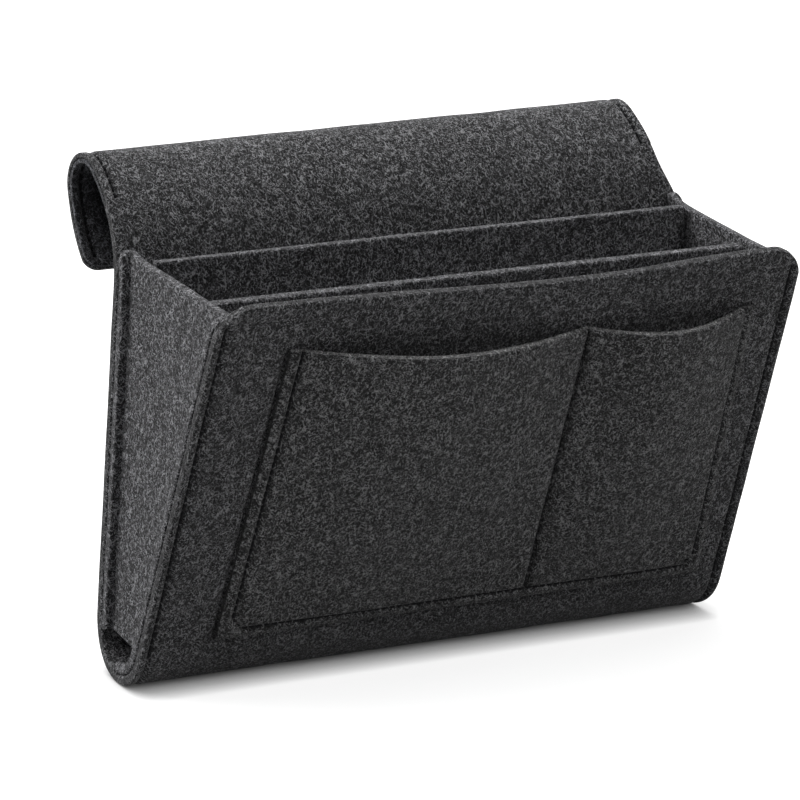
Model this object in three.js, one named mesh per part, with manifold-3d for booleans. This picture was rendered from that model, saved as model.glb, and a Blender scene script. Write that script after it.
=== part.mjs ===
// Bedside caddy of thick felt: a box with a round bottom, two dividers, a front panel with two pockets, and a
// flap that rises from the back wall and folds over into a hook.
// Millimetres. X runs along the width, Y runs backward, Z runs up. The origin is the seat inside the hook's crown.

import * as THREE from "three";
import { mergeVertices } from "three/addons/utils/BufferGeometryUtils.js";
import Module from "manifold-3d";

const wasm = await Module();
wasm.setup();

// Felt, thread, the groove that the lip rows sink into, and the gap that touching pieces keep
const FELT = 4;
const PLY = 2;
const CLEAR = 0.3;
const THREAD_RADIUS = 0.4;
const GROOVE_DEPTH = 1.4;
const OVERRUN = 5;

// The box
const WIDTH = 270;
const RIM_HEIGHT = 174;
const RIM_DEPTH = 88;
const BOTTOM_RADIUS = 22;
const RIM_CORNER_RADIUS = 15;
const RIM_SAG = 3.8;
const RIM_SAG_PLACE_SHARE = 0.62;

// The gussets: how far the wrap's edges stand out past them, how far below the rim their tops lie at the back and
// at the front, and where their lower ends stop
const LIP = 6;
const SEAM_INSET = 3.5;
const SEAM_START = 8;
const GUSSET_DROP = 0.5;
const GUSSET_FRONT_DROP = 6.5;
const GUSSET_FOOT_BACK = 18.4;
const GUSSET_FOOT_FRONT = 12;

// The dividers, by the depth of their mid planes forward of the back wall's rear face and how far their tops
// lie below the rim
const REAR_DIVIDER_DEPTH = 17.5;
const REAR_DIVIDER_DROP = 0.5;
const FRONT_DIVIDER_DEPTH = 59;
const FRONT_DIVIDER_DROP = 5.5;
const FRONT_DIVIDER_FOOT_DEPTH = 32;

// The pocket panel: its sides by their distance from the wrap's two edges, its mouths by their distance down the
// slope from the rim, and its foot by its distance up the slope from the bottom's bend
const POCKET_LEFT_TOP = 31.5;
const POCKET_LEFT_FOOT = 30;
const POCKET_RIGHT_TOP = 20;
const POCKET_RIGHT_FOOT = 15;
const POCKET_SEPARATOR = 170.5;
const POCKET_FOOT_RISE = 7.7;
const POCKET_SEAM_INSET = 4.5;
const MOUTH_AT_LEFT = 20.5;
const MOUTH_AT_SEPARATOR = 25.5;
const MOUTH_AT_RIGHT = 24.5;
const LEFT_MOUTH_SAG = 0.8;
const RIGHT_MOUTH_SAG = 0.6;
const LEFT_POCKET_BULGE = 11;
const RIGHT_POCKET_BULGE = 10;

// The flap seen from its end: how far below the rim the back wall starts to bend, then three bends of the mid line
const BEND_DROP = 14.8;
const RISER_RADIUS = 49.9;
const RISER_TURN = 58.7;
const CROWN_RADIUS = 11.9;
const CROWN_TURN = 136.7;
const LEAF_RADIUS = 57.8;
const LEAF_LENGTH = 34.5;
const LEAF_CORNER_RADIUS = 6;
const FLAP_RIGHT_INSET = 3.75;
const FLAP_SEAM_INSET = 4.5;
const FLAP_SEAM_START = 5;

// The two folds where the felt bends as a hinge: one a little above the rim, one behind the crown
const BACK_FOLD_RISE = 3;
const LEAF_FOLD_TURN = 127.5;

// Steps of the curved outlines
const ARC_STEP = 9;
const CORNER_STEPS = 6;
const KNUCKLE_STEPS = 4;
const THREAD_SIDES = 6;
const POCKET_COLUMN = 11;
const POCKET_ROWS = 9;
const SAG_STEPS = 10;

// Felt colours
const feltMaterial = (color) => new THREE.MeshStandardMaterial({ color, roughness: 0.95, metalness: 0 });
const WRAP_FELT = feltMaterial(0x3a3b3e);
const INNER_FELT = feltMaterial(0x37383b);
const POCKET_FELT = feltMaterial(0x3e3f42);
const THREAD = new THREE.MeshStandardMaterial({ color: 0x26272a, roughness: 0.8, metalness: 0 });

// Values that follow from the sizes above
const radians = THREE.MathUtils.degToRad;
const FLAP_THICKNESS = 2 * PLY + CLEAR;
const HALF_WIDTH = WIDTH / 2;
const THREAD_LIFT = CLEAR + THREAD_RADIUS;
const FOLD_GAP = FLAP_THICKNESS / 2 + CLEAR;
const GUSSET_TOP = RIM_HEIGHT - GUSSET_DROP;
const STRAIGHT_HEIGHT = RIM_HEIGHT - BEND_DROP;
const BACK_FOLD_HEIGHT = RIM_HEIGHT + BACK_FOLD_RISE;

// The front wall's slope: its outer face leaves the bottom's outer circle along a tangent and ends at the rim
const rimBeyondCircle = RIM_DEPTH - BOTTOM_RADIUS;
const rimAboveCircle = RIM_HEIGHT - BOTTOM_RADIUS;
const rimToCircle = Math.hypot(rimBeyondCircle, rimAboveCircle);
const SLOPE = Math.acos(BOTTOM_RADIUS / rimToCircle) - Math.atan2(rimAboveCircle, rimBeyondCircle);
const SLOPE_LENGTH = Math.sqrt(rimToCircle ** 2 - BOTTOM_RADIUS ** 2);

// Follows a strip's mid line in the YZ plane. A positive turn goes to the left of the heading.
function follow(start, heading, moves) {
  const stations = [{ ...start, heading }];
  for (const { run = 0, turn = 0, radius = 0 } of moves) {
    const steps = turn ? Math.max(1, Math.ceil(Math.abs(turn) / radians(ARC_STEP))) : 1;
    for (let step = 0; step < steps; step++) {
      const { y, z, heading: before } = stations.at(-1);
      const bend = turn / steps;
      const chord = turn ? 2 * radius * Math.sin(Math.abs(bend) / 2) : run;
      const along = before + bend / 2;
      stations.push({ y: y + chord * Math.cos(along), z: z + chord * Math.sin(along), heading: before + bend });
    }
  }
  return stations;
}

// A point beside a station: ahead along its heading and off to its left
function beside({ y, z, heading }, left, ahead = 0) {
  return new THREE.Vector2(
    y - left * Math.sin(heading) + ahead * Math.cos(heading),
    z + left * Math.cos(heading) + ahead * Math.sin(heading),
  );
}

// A strip's outline between two distances to the left of its mid line
function strip(stations, low, high, start = []) {
  const one = stations.map((station) => beside(station, low));
  const other = stations.map((station) => beside(station, high));
  return new THREE.Shape([...start, ...other, ...one.reverse()]);
}

// Extrudes an outline of the YZ plane along X
function across(shape, from, to) {
  const geometry = new THREE.ExtrudeGeometry(shape, { depth: to - from, bevelEnabled: false });
  const axes = [new THREE.Vector3(0, 1, 0), new THREE.Vector3(0, 0, 1), new THREE.Vector3(1, 0, 0)];
  geometry.applyMatrix4(new THREE.Matrix4().makeBasis(...axes));
  return geometry.translate(from, 0, 0);
}

// Solids and geometries
function solid(geometry) {
  const bare = geometry.clone();
  bare.deleteAttribute("normal");
  bare.deleteAttribute("uv");
  const merged = mergeVertices(bare);
  const vertProperties = Float32Array.from(merged.attributes.position.array);
  const triVerts = Uint32Array.from(merged.index.array);
  return new wasm.Manifold(new wasm.Mesh({ numProp: 3, vertProperties, triVerts }));
}

function geometryOf(manifold) {
  const mesh = manifold.getMesh();
  const geometry = new THREE.BufferGeometry();
  geometry.setAttribute("position", new THREE.BufferAttribute(Float32Array.from(mesh.vertProperties), 3));
  geometry.setIndex(Array.from(mesh.triVerts));
  const flat = geometry.toNonIndexed();
  flat.computeVertexNormals();
  return flat;
}

// The wrap's mid line: down the front wall, round the bottom and up the back wall to the fold
const backTurnAtFold = Math.asin((BACK_FOLD_HEIGHT - STRAIGHT_HEIGHT) / RISER_RADIUS);
const wallTurn = backTurnAtFold - FOLD_GAP / RISER_RADIUS;
const rimMiddle = {
  y: -RIM_DEPTH + (FELT / 2) * Math.cos(SLOPE),
  z: RIM_HEIGHT + (FELT / 2) * Math.sin(SLOPE),
};
const wrapLine = follow(rimMiddle, SLOPE - Math.PI / 2, [
  { run: SLOPE_LENGTH },
  { turn: Math.PI - SLOPE, radius: BOTTOM_RADIUS - FELT / 2 },
  { run: STRAIGHT_HEIGHT - BOTTOM_RADIUS },
  { turn: -wallTurn, radius: RISER_RADIUS },
]);

// The front wall's frame: x across, y up the slope and z out of the outer face, with its zero at the rim
const frontFrame = new THREE.Matrix4().makeBasis(
  new THREE.Vector3(1, 0, 0),
  new THREE.Vector3(0, -Math.sin(SLOPE), Math.cos(SLOPE)),
  new THREE.Vector3(0, -Math.cos(SLOPE), -Math.sin(SLOPE)),
).setPosition(0, -RIM_DEPTH, RIM_HEIGHT);

// Cuts the rim's round corners and its sag, through the wall and the flange behind it
function rimWaste() {
  const radius = RIM_CORNER_RADIUS;
  const inner = HALF_WIDTH - radius;
  const lowest = -HALF_WIDTH + WIDTH * RIM_SAG_PLACE_SHARE;
  const sagHalves = [[-inner, lowest], [inner, lowest]];
  const sagAt = (x) => {
    const [end, low] = x < lowest ? sagHalves[0] : sagHalves[1];
    return RIM_SAG * 0.5 * (1 + Math.cos(Math.PI * (x - low) / (end - low)));
  };
  const shape = new THREE.Shape();
  shape.moveTo(-HALF_WIDTH - OVERRUN, OVERRUN);
  shape.lineTo(-HALF_WIDTH - OVERRUN, -radius);
  shape.lineTo(-HALF_WIDTH, -radius);
  shape.absarc(-inner, -radius, radius, Math.PI, Math.PI / 2, true);
  for (let step = 1; step < SAG_STEPS; step++) {
    const x = -inner + (2 * inner * step) / SAG_STEPS;
    shape.lineTo(x, -sagAt(x));
  }
  shape.lineTo(inner, 0);
  shape.absarc(inner, -radius, radius, Math.PI / 2, 0, true);
  shape.lineTo(HALF_WIDTH + OVERRUN, -radius);
  shape.lineTo(HALF_WIDTH + OVERRUN, OVERRUN);
  const depth = 2 * FELT + 2 * CLEAR + OVERRUN;
  const geometry = new THREE.ExtrudeGeometry(shape, { depth, bevelEnabled: false, curveSegments: CORNER_STEPS });
  geometry.translate(0, 0, -2 * FELT - 2 * CLEAR);
  return solid(geometry.applyMatrix4(frontFrame));
}

// The rows through the lips run up the front and the back wall. The side is -1 or 1.
const lipSeam = (side) => side * (HALF_WIDTH - SEAM_INSET);
const backSeamTurn = Math.asin((GUSSET_TOP - SEAM_START - STRAIGHT_HEIGHT) / RISER_RADIUS);

// The wall's mid line beside a back row, which it can outrun at both ends
function backSeamLine(beyond) {
  const straight = STRAIGHT_HEIGHT - BOTTOM_RADIUS + beyond;
  const runs = Math.round(straight / POCKET_COLUMN);
  return follow({ y: -FELT / 2, z: BOTTOM_RADIUS - beyond }, Math.PI / 2, [
    ...Array.from({ length: runs }, () => ({ run: straight / runs })),
    { turn: -backSeamTurn - beyond / RISER_RADIUS, radius: RISER_RADIUS },
  ]);
}

// The grooves in the wrap's outer face, where a lip's two rows lie sunk
function grooves(side) {
  const reach = THREAD_RADIUS + CLEAR;
  const length = SLOPE_LENGTH - SEAM_START + 2 * CLEAR;
  const front = new THREE.BoxGeometry(2 * reach, length, 2 * GROOVE_DEPTH);
  front.translate(lipSeam(side), -(SLOPE_LENGTH + SEAM_START) / 2, 0).applyMatrix4(frontFrame);
  const section = strip(backSeamLine(CLEAR), -FELT / 2 - GROOVE_DEPTH, -FELT / 2 + GROOVE_DEPTH);
  const back = across(section, lipSeam(side) - reach, lipSeam(side) + reach);
  return solid(front).add(solid(back));
}

function wrap() {
  const body = solid(across(strip(wrapLine, -FELT / 2, FELT / 2), -HALF_WIDTH, HALF_WIDTH));
  return geometryOf(body.subtract(rimWaste()).subtract(grooves(-1)).subtract(grooves(1)));
}

// The room inside the wrap, a set distance in from its mid line
function roomShape(inset) {
  return new THREE.Shape(wrapLine.map((station) => beside(station, inset)));
}

const INNER_FACE = FELT / 2 + CLEAR;

// A gusset: an end wall with its front and back edges turned outward against the wrap. The side is -1 or 1.
function acrossSide(shape, side, from, to) {
  return side > 0 ? across(shape, from, to) : across(shape, -to, -from);
}

function gusset(side) {
  const outside = HALF_WIDTH - LIP;
  const inside = outside - FELT;
  const block = solid(acrossSide(roomShape(INNER_FACE), side, inside, HALF_WIDTH));
  const hollow = solid(acrossSide(roomShape(INNER_FACE + FELT), side, outside, HALF_WIDTH + OVERRUN));
  const above = new THREE.Shape();
  above.moveTo(OVERRUN, GUSSET_TOP);
  above.lineTo(OVERRUN, RIM_HEIGHT + OVERRUN);
  above.lineTo(-RIM_DEPTH - OVERRUN, RIM_HEIGHT + OVERRUN);
  above.lineTo(-RIM_DEPTH - OVERRUN, RIM_HEIGHT - GUSSET_FRONT_DROP);
  above.lineTo(-RIM_DEPTH, RIM_HEIGHT - GUSSET_FRONT_DROP);
  above.lineTo(-FELT, GUSSET_TOP);
  const below = new THREE.Shape();
  below.moveTo(0, GUSSET_FOOT_BACK);
  below.lineTo(-2 * BOTTOM_RADIUS, GUSSET_FOOT_FRONT);
  below.lineTo(-2 * BOTTOM_RADIUS, -OVERRUN);
  below.lineTo(0, -OVERRUN);
  const cut = (body, shape) => body.subtract(
    solid(acrossSide(shape, side, inside - OVERRUN, HALF_WIDTH + OVERRUN)),
  );
  const face = cut(cut(block.subtract(hollow), above), below);
  return geometryOf(face.subtract(rimWaste()));
}

// A divider: a flat sheet between the gussets, down to the wrap's round bottom
function divider(topDepth, drop, footDepth) {
  const top = RIM_HEIGHT - drop;
  const lean = Math.atan2(topDepth - footDepth, top);
  const tall = Math.hypot(topDepth - footDepth, top);
  const shape = new THREE.Shape();
  shape.moveTo(-FELT / 2, 0);
  shape.lineTo(FELT / 2, 0);
  shape.lineTo(FELT / 2, tall);
  shape.lineTo(-FELT / 2, tall);
  const end = HALF_WIDTH - LIP - FELT - CLEAR;
  const sheet = across(shape, -end, end).rotateX(lean).translate(0, -footDepth, 0);
  const room = solid(across(roomShape(INNER_FACE), -end - OVERRUN, end + OVERRUN));
  return geometryOf(solid(sheet).intersect(room));
}

// The pocket panel. Shares run from 0 to 1: across a pocket, and down from the mouth to the seam at the foot.
const pocketFoot = SLOPE_LENGTH - POCKET_FOOT_RISE;
const seamFoot = pocketFoot - POCKET_SEAM_INSET;
const pocketLeft = (downShare) => THREE.MathUtils.lerp(POCKET_LEFT_TOP, POCKET_LEFT_FOOT, downShare) - HALF_WIDTH;
const pocketRight = (downShare) => HALF_WIDTH - THREE.MathUtils.lerp(POCKET_RIGHT_TOP, POCKET_RIGHT_FOOT, downShare);
const separator = POCKET_SEPARATOR - HALF_WIDTH;

const POCKETS = [
  {
    from: (downShare) => pocketLeft(downShare) + POCKET_SEAM_INSET,
    to: () => separator,
    mouths: [MOUTH_AT_LEFT, MOUTH_AT_SEPARATOR],
    sag: LEFT_MOUTH_SAG,
    bulge: LEFT_POCKET_BULGE,
  },
  {
    from: () => separator,
    to: (downShare) => pocketRight(downShare) - POCKET_SEAM_INSET,
    mouths: [MOUTH_AT_SEPARATOR, MOUTH_AT_RIGHT],
    sag: RIGHT_MOUTH_SAG,
    bulge: RIGHT_POCKET_BULGE,
  },
];

const hump = (share) => Math.sin(Math.PI * THREE.MathUtils.clamp(share, 0, 1));

// The panel's inner face: a point on it in the front wall's frame
function pocketPoint(pocket, acrossShare, downShare) {
  const x = THREE.MathUtils.lerp(pocket.from(downShare), pocket.to(downShare), acrossShare);
  return pocketSurface(pocket, x, acrossShare, downShare);
}

function pocketSurface(pocket, x, acrossShare, downShare) {
  const mouth = THREE.MathUtils.lerp(...pocket.mouths, THREE.MathUtils.clamp(acrossShare, 0, 1));
  const edge = mouth + pocket.sag * hump(acrossShare);
  const down = THREE.MathUtils.lerp(edge, seamFoot, downShare);
  const lift = pocket.bulge * hump(acrossShare) * Math.cos((Math.PI / 2) * downShare);
  return new THREE.Vector3(x, -down, CLEAR + lift);
}

// One row of points across the whole panel
function pocketRow(downShare) {
  const [left, right] = POCKETS;
  const points = [pocketSurface(left, pocketLeft(downShare), 0, downShare)];
  for (const pocket of POCKETS) {
    const columns = Math.ceil((pocket.to(0) - pocket.from(0)) / POCKET_COLUMN);
    const first = pocket === left ? 0 : 1;
    for (let column = first; column <= columns; column++) {
      points.push(pocketPoint(pocket, column / columns, downShare));
    }
  }
  points.push(pocketSurface(right, pocketRight(downShare), 1, downShare));
  return points;
}

// A closed felt sheet from a grid of points on its lower face
function sheet(rows, thickness) {
  const columns = rows[0].length;
  const lower = rows.flat();
  const upper = lower.map((point) => point.clone().add(new THREE.Vector3(0, 0, thickness)));
  const count = lower.length;
  const index = [];
  const quad = (a, b, c, d) => index.push(a, b, c, a, c, d);
  for (let row = 0; row + 1 < rows.length; row++) {
    for (let column = 0; column + 1 < columns; column++) {
      const a = row * columns + column;
      quad(a, a + 1, a + 1 + columns, a + columns);
      quad(count + a, count + a + columns, count + a + 1 + columns, count + a + 1);
    }
    const left = row * columns;
    const right = left + columns - 1;
    quad(left, left + columns, count + left + columns, count + left);
    quad(right, count + right, count + right + columns, right + columns);
  }
  for (let column = 0; column + 1 < columns; column++) {
    const last = (rows.length - 1) * columns + column;
    quad(column, count + column, count + column + 1, column + 1);
    quad(last, last + 1, count + last + 1, count + last);
  }
  const geometry = new THREE.BufferGeometry().setFromPoints([...lower, ...upper]);
  geometry.setIndex(index);
  const flat = geometry.toNonIndexed();
  flat.computeVertexNormals();
  return flat;
}

function pocketPanel() {
  const rows = Array.from({ length: POCKET_ROWS + 1 }, (_, row) => pocketRow(row / POCKET_ROWS));
  const foot = rows.at(-1).map(({ x, z }) => new THREE.Vector3(x, -pocketFoot, z));
  return sheet([...rows, foot], FELT).applyMatrix4(frontFrame);
}

// The flap's mid line, from the back fold over the crown to the leaf fold, and on to the leaf's edge
const foldStation = follow({ y: -FELT / 2, z: STRAIGHT_HEIGHT }, Math.PI / 2, [
  { turn: -backTurnAtFold, radius: RISER_RADIUS },
]).at(-1);
const crownToFold = radians(LEAF_FOLD_TURN - RISER_TURN);
const flapLine = follow(foldStation, foldStation.heading, [
  { turn: backTurnAtFold - radians(RISER_TURN), radius: RISER_RADIUS },
  { turn: -crownToFold + FOLD_GAP / CROWN_RADIUS, radius: CROWN_RADIUS },
]);
const leafFold = follow(flapLine.at(-1), flapLine.at(-1).heading, [
  { turn: -FOLD_GAP / CROWN_RADIUS, radius: CROWN_RADIUS },
]).at(-1);
const leafLine = follow(leafFold, leafFold.heading, [
  { turn: -radians(CROWN_TURN) + crownToFold, radius: CROWN_RADIUS },
  { turn: -LEAF_LENGTH / LEAF_RADIUS, radius: LEAF_RADIUS },
]);

const flapFrom = -HALF_WIDTH;
const flapTo = HALF_WIDTH - FLAP_RIGHT_INSET;

// One ply of the flap, with an end that is round about the fold's axis. The side is 1 on the outside, -1 inside.
function ply(line, side) {
  const near = CLEAR / 2;
  const far = FLAP_THICKNESS / 2;
  const first = Math.asin(near / far);
  const knuckle = [];
  for (let step = 0; step < KNUCKLE_STEPS; step++) {
    const angle = THREE.MathUtils.lerp(first, Math.PI / 2, step / KNUCKLE_STEPS);
    knuckle.push(beside(line[0], side * far * Math.sin(angle), -far * Math.cos(angle)));
  }
  return across(strip(line, side * near, side * far, knuckle), flapFrom, flapTo);
}

// Cuts the leaf's two lower corners round
function leafPly(side) {
  const tip = leafLine.at(-1);
  const radius = LEAF_CORNER_RADIUS;
  const shape = new THREE.Shape();
  shape.moveTo(-radius, 0);
  shape.absarc(-radius, -radius, radius, Math.PI / 2, 0, true);
  shape.lineTo(OVERRUN, -radius);
  shape.lineTo(OVERRUN, OVERRUN);
  shape.lineTo(-radius, OVERRUN);
  const reach = FLAP_THICKNESS + OVERRUN;
  const corner = new THREE.ExtrudeGeometry(shape, { depth: 2 * reach, bevelEnabled: false, curveSegments: CORNER_STEPS });
  corner.translate(0, 0, -reach);
  const ahead = new THREE.Vector3(0, Math.cos(tip.heading), Math.sin(tip.heading));
  const right = new THREE.Vector3(1, 0, 0);
  const left = new THREE.Vector3(-1, 0, 0);
  const cut = (body, outward, x) => {
    const frame = new THREE.Matrix4().makeBasis(outward, ahead, outward.clone().cross(ahead));
    return body.subtract(solid(corner.clone().applyMatrix4(frame.setPosition(x, tip.y, tip.z))));
  };
  return geometryOf(cut(cut(solid(ply(leafLine, side)), right, flapTo), left, flapFrom));
}

// A row of sewing thread along a list of points
function threadRow(points) {
  const section = new THREE.Shape();
  for (let side = 0; side < THREAD_SIDES; side++) {
    const angle = (2 * Math.PI * side) / THREAD_SIDES;
    const [x, y] = [THREAD_RADIUS * Math.cos(angle), THREAD_RADIUS * Math.sin(angle)];
    if (side) section.lineTo(x, y);
    else section.moveTo(x, y);
  }
  const extrudePath = new THREE.CatmullRomCurve3(points);
  return new THREE.ExtrudeGeometry(section, { steps: 2 * (points.length - 1), extrudePath, bevelEnabled: false });
}

// A row in the front wall's frame, straight between corners that it rounds off. A corner is across and down.
function frontRow(corners, lift) {
  const points = [];
  for (let index = 0; index + 1 < corners.length; index++) {
    const [from, to] = [corners[index], corners[index + 1]].map(([x, down]) => new THREE.Vector2(x, -down));
    const steps = Math.max(1, Math.round(from.distanceTo(to) / POCKET_COLUMN));
    for (let step = index ? 1 : 0; step <= steps; step++) {
      const { x, y } = from.clone().lerp(to, step / steps);
      points.push(new THREE.Vector3(x, y, lift).applyMatrix4(frontFrame));
    }
  }
  return threadRow(points);
}

// A row through the front lip, sunk in the wrap's groove or on the flange's far face
const frontSeam = (side, lift) => frontRow([[lipSeam(side), SEAM_START], [lipSeam(side), SLOPE_LENGTH]], lift);

// A row beside a line of stations
function rowBeside(stations, x, left) {
  return threadRow(stations.map((station) => {
    const point = beside(station, left);
    return new THREE.Vector3(x, point.x, point.y);
  }));
}

// Rows of the pocket panel: round its sides and foot, and between the pockets
function pocketBorder(lift) {
  const [left, right] = POCKETS;
  const corner = POCKET_SEAM_INSET;
  return frontRow([
    [left.from(0), MOUTH_AT_LEFT],
    [left.from(1), seamFoot - corner],
    [left.from(1) + corner, seamFoot],
    [right.to(1) - corner, seamFoot],
    [right.to(1), seamFoot - corner],
    [right.to(0), MOUTH_AT_RIGHT],
  ], lift);
}

const separatorFoot = seamFoot - 2 * THREAD_RADIUS - CLEAR;
const separatorRow = (lift) => frontRow([[separator, MOUTH_AT_SEPARATOR], [separator, separatorFoot]], lift);

// Rows near the flap's two ends, over the riser and the crown, and down the leaf
const riserSeamStart = follow(foldStation, foldStation.heading, [
  { turn: -FLAP_SEAM_START / RISER_RADIUS, radius: RISER_RADIUS },
]).at(-1);
const riserSeamLine = follow(riserSeamStart, riserSeamStart.heading, [
  { turn: backTurnAtFold - radians(RISER_TURN) + FLAP_SEAM_START / RISER_RADIUS, radius: RISER_RADIUS },
  { turn: -crownToFold + FLAP_SEAM_START / CROWN_RADIUS, radius: CROWN_RADIUS },
]);
const leafSeamStart = follow(leafFold, leafFold.heading, [
  { turn: -FLAP_SEAM_START / CROWN_RADIUS, radius: CROWN_RADIUS },
]).at(-1);
const leafSeamLine = follow(leafSeamStart, leafSeamStart.heading, [
  { turn: -radians(CROWN_TURN) + crownToFold + FLAP_SEAM_START / CROWN_RADIUS, radius: CROWN_RADIUS },
  { turn: -(LEAF_LENGTH - FLAP_SEAM_INSET) / LEAF_RADIUS, radius: LEAF_RADIUS },
]);
const flapSeam = (side) => (side > 0 ? flapTo - FLAP_SEAM_INSET : flapFrom + FLAP_SEAM_INSET);

// The assembly, moved so that the seat inside the crown is the origin
const crownTop = follow(foldStation, foldStation.heading, [
  { turn: backTurnAtFold - radians(RISER_TURN), radius: RISER_RADIUS },
  { turn: radians(RISER_TURN) - Math.PI / 2, radius: CROWN_RADIUS },
]).at(-1);
const seat = beside(crownTop, -FLAP_THICKNESS / 2);

const caddy = new THREE.Group();
caddy.position.set(0, -seat.x, -seat.y);

function add(name, geometry, material) {
  const mesh = new THREE.Mesh(geometry, material);
  mesh.name = name;
  caddy.add(mesh);
}

add("wrap", wrap(), WRAP_FELT);
add("left_gusset", gusset(-1), INNER_FELT);
add("right_gusset", gusset(1), INNER_FELT);
add("rear_divider", divider(REAR_DIVIDER_DEPTH, REAR_DIVIDER_DROP, REAR_DIVIDER_DEPTH), INNER_FELT);
add("front_divider", divider(FRONT_DIVIDER_DEPTH, FRONT_DIVIDER_DROP, FRONT_DIVIDER_FOOT_DEPTH), INNER_FELT);
add("pocket_panel", pocketPanel(), POCKET_FELT);
add("flap_outer_ply", ply(flapLine, 1), WRAP_FELT);
add("flap_lining_ply", ply(flapLine, -1), INNER_FELT);
add("leaf_outer_ply", leafPly(1), WRAP_FELT);
add("leaf_lining_ply", leafPly(-1), INNER_FELT);

const sunk = GROOVE_DEPTH - THREAD_LIFT;
const farFace = 2 * FELT + CLEAR + THREAD_LIFT;
const flapFace = FLAP_THICKNESS / 2 + THREAD_LIFT;
for (const [word, side] of [["left", -1], ["right", 1]]) {
  add(`${word}_front_seam_outside`, frontSeam(side, -sunk), THREAD);
  add(`${word}_front_seam_inside`, frontSeam(side, -farFace), THREAD);
  add(`${word}_back_seam_outside`, rowBeside(backSeamLine(0), lipSeam(side), sunk - FELT / 2), THREAD);
  add(`${word}_back_seam_inside`, rowBeside(backSeamLine(0), lipSeam(side), farFace - FELT / 2), THREAD);
  add(`${word}_flap_row_outside`, rowBeside(riserSeamLine, flapSeam(side), flapFace), THREAD);
  add(`${word}_flap_row_inside`, rowBeside(riserSeamLine, flapSeam(side), -flapFace), THREAD);
  add(`${word}_leaf_row_outside`, rowBeside(leafSeamLine, flapSeam(side), flapFace), THREAD);
  add(`${word}_leaf_row_inside`, rowBeside(leafSeamLine, flapSeam(side), -flapFace), THREAD);
}
add("pocket_border_outside", pocketBorder(CLEAR + FELT + THREAD_LIFT), THREAD);
add("pocket_border_inside", pocketBorder(-FELT - THREAD_LIFT), THREAD);
add("pocket_separator_outside", separatorRow(CLEAR + FELT + THREAD_LIFT), THREAD);
add("pocket_separator_inside", separatorRow(-FELT - THREAD_LIFT), THREAD);

export default caddy;
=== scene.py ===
import math

import bpy
import numpy as np
from bpy.props import FloatProperty, FloatVectorProperty, PointerProperty
from mathutils import Matrix, Vector


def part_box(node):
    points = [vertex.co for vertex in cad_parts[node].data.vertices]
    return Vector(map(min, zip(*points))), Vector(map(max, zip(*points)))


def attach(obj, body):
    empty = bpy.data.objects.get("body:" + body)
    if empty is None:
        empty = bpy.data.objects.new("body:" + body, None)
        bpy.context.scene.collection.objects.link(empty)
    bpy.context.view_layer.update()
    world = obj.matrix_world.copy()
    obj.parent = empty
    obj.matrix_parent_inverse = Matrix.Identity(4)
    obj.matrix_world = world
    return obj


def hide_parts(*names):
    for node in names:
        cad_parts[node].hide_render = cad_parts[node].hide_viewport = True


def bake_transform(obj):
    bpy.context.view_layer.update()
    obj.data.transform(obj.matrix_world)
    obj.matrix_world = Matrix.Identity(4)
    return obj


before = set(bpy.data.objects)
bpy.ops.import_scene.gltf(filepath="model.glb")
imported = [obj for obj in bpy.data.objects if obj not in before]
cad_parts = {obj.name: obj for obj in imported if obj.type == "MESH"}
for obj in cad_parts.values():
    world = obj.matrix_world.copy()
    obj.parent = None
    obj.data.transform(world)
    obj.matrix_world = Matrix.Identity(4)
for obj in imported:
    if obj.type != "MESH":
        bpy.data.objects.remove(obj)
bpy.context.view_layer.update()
WRAP_LOW, WRAP_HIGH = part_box("wrap")

bl_info = {
    "name": "Felt bedside caddy",
    "version": (1, 0, 0),
    "blender": (4, 5, 0),
    "location": "View3D > Sidebar > Caddy",
    "description": "Makes the felt, the stitching and the studio stage of a bedside caddy",
    "category": "Add Mesh",
}

MM = 0.001

# Rounding of a cut edge, as a share of the felt's thickness
EDGE_ROUNDING_SHARE = 0.22
# Heights of the rings of points round a cut edge, for one felt and for two plies. Its flat part ends at 1.
WALL_RINGS = (-0.5, 0.5)
PLY_RINGS = (-0.5, -0.12, 0, 0.12, 0.5)
# Where the grid of a felt is fine, by the distance from a cut edge and from a row of stitches, and how
# close two lines of it may lie
EDGE_OFFSETS = [0, 0.12 * MM, 0.4 * MM, 0.9 * MM, 1.6 * MM]
ROW_OFFSETS = [0, 0.35 * MM, 0.8 * MM, 1.4 * MM, 2.4 * MM]
LEAST_STEP = 0.1 * MM
# Faces that meet at more than this angle are shaded as a crease
SHARP_ANGLE = math.radians(65)
# Stands for the distance to a cut edge or a row that is far away, in metres
FAR = 1.0
# Keeps the length of a vector of zeros from dividing by zero
TINY = 1e-12

# The soft grooves that the stitches pull into the felt: their depth and how far they reach
GROOVE = (2.0 * MM, 1.0 * MM)
SEPARATOR_GROOVE = (2.9 * MM, 1.15 * MM)
# The dent that the pocket panel's edge presses into the front wall
PANEL_DENT = (1.5 * MM, 0.7 * MM)

# Low waves of the felt's faces: their height, and the shortest and longest of them
WAVE_HEIGHT = 0.1 * MM
WAVE_LENGTHS = (14 * MM, 90 * MM)
WAVE_COUNT = 14
WAVE_SEED = 11


def distance(name, millimetres, description):
    return FloatProperty(
        name=name, description=description, default=millimetres * MM, unit="LENGTH", subtype="DISTANCE"
    )


def angle(name, degrees, description):
    return FloatProperty(
        name=name, description=description, default=math.radians(degrees), unit="ROTATION", subtype="ANGLE"
    )


def colour(name, default, description):
    return FloatVectorProperty(
        name=name, description=description, default=default, size=4, min=0, max=1, subtype="COLOR"
    )


def share(name, default, description):
    return FloatProperty(
        name=name, description=description, default=default, min=0, max=1, subtype="FACTOR"
    )


def power(name, watts, description):
    return FloatProperty(name=name, description=description, default=watts, unit="POWER")


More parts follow.
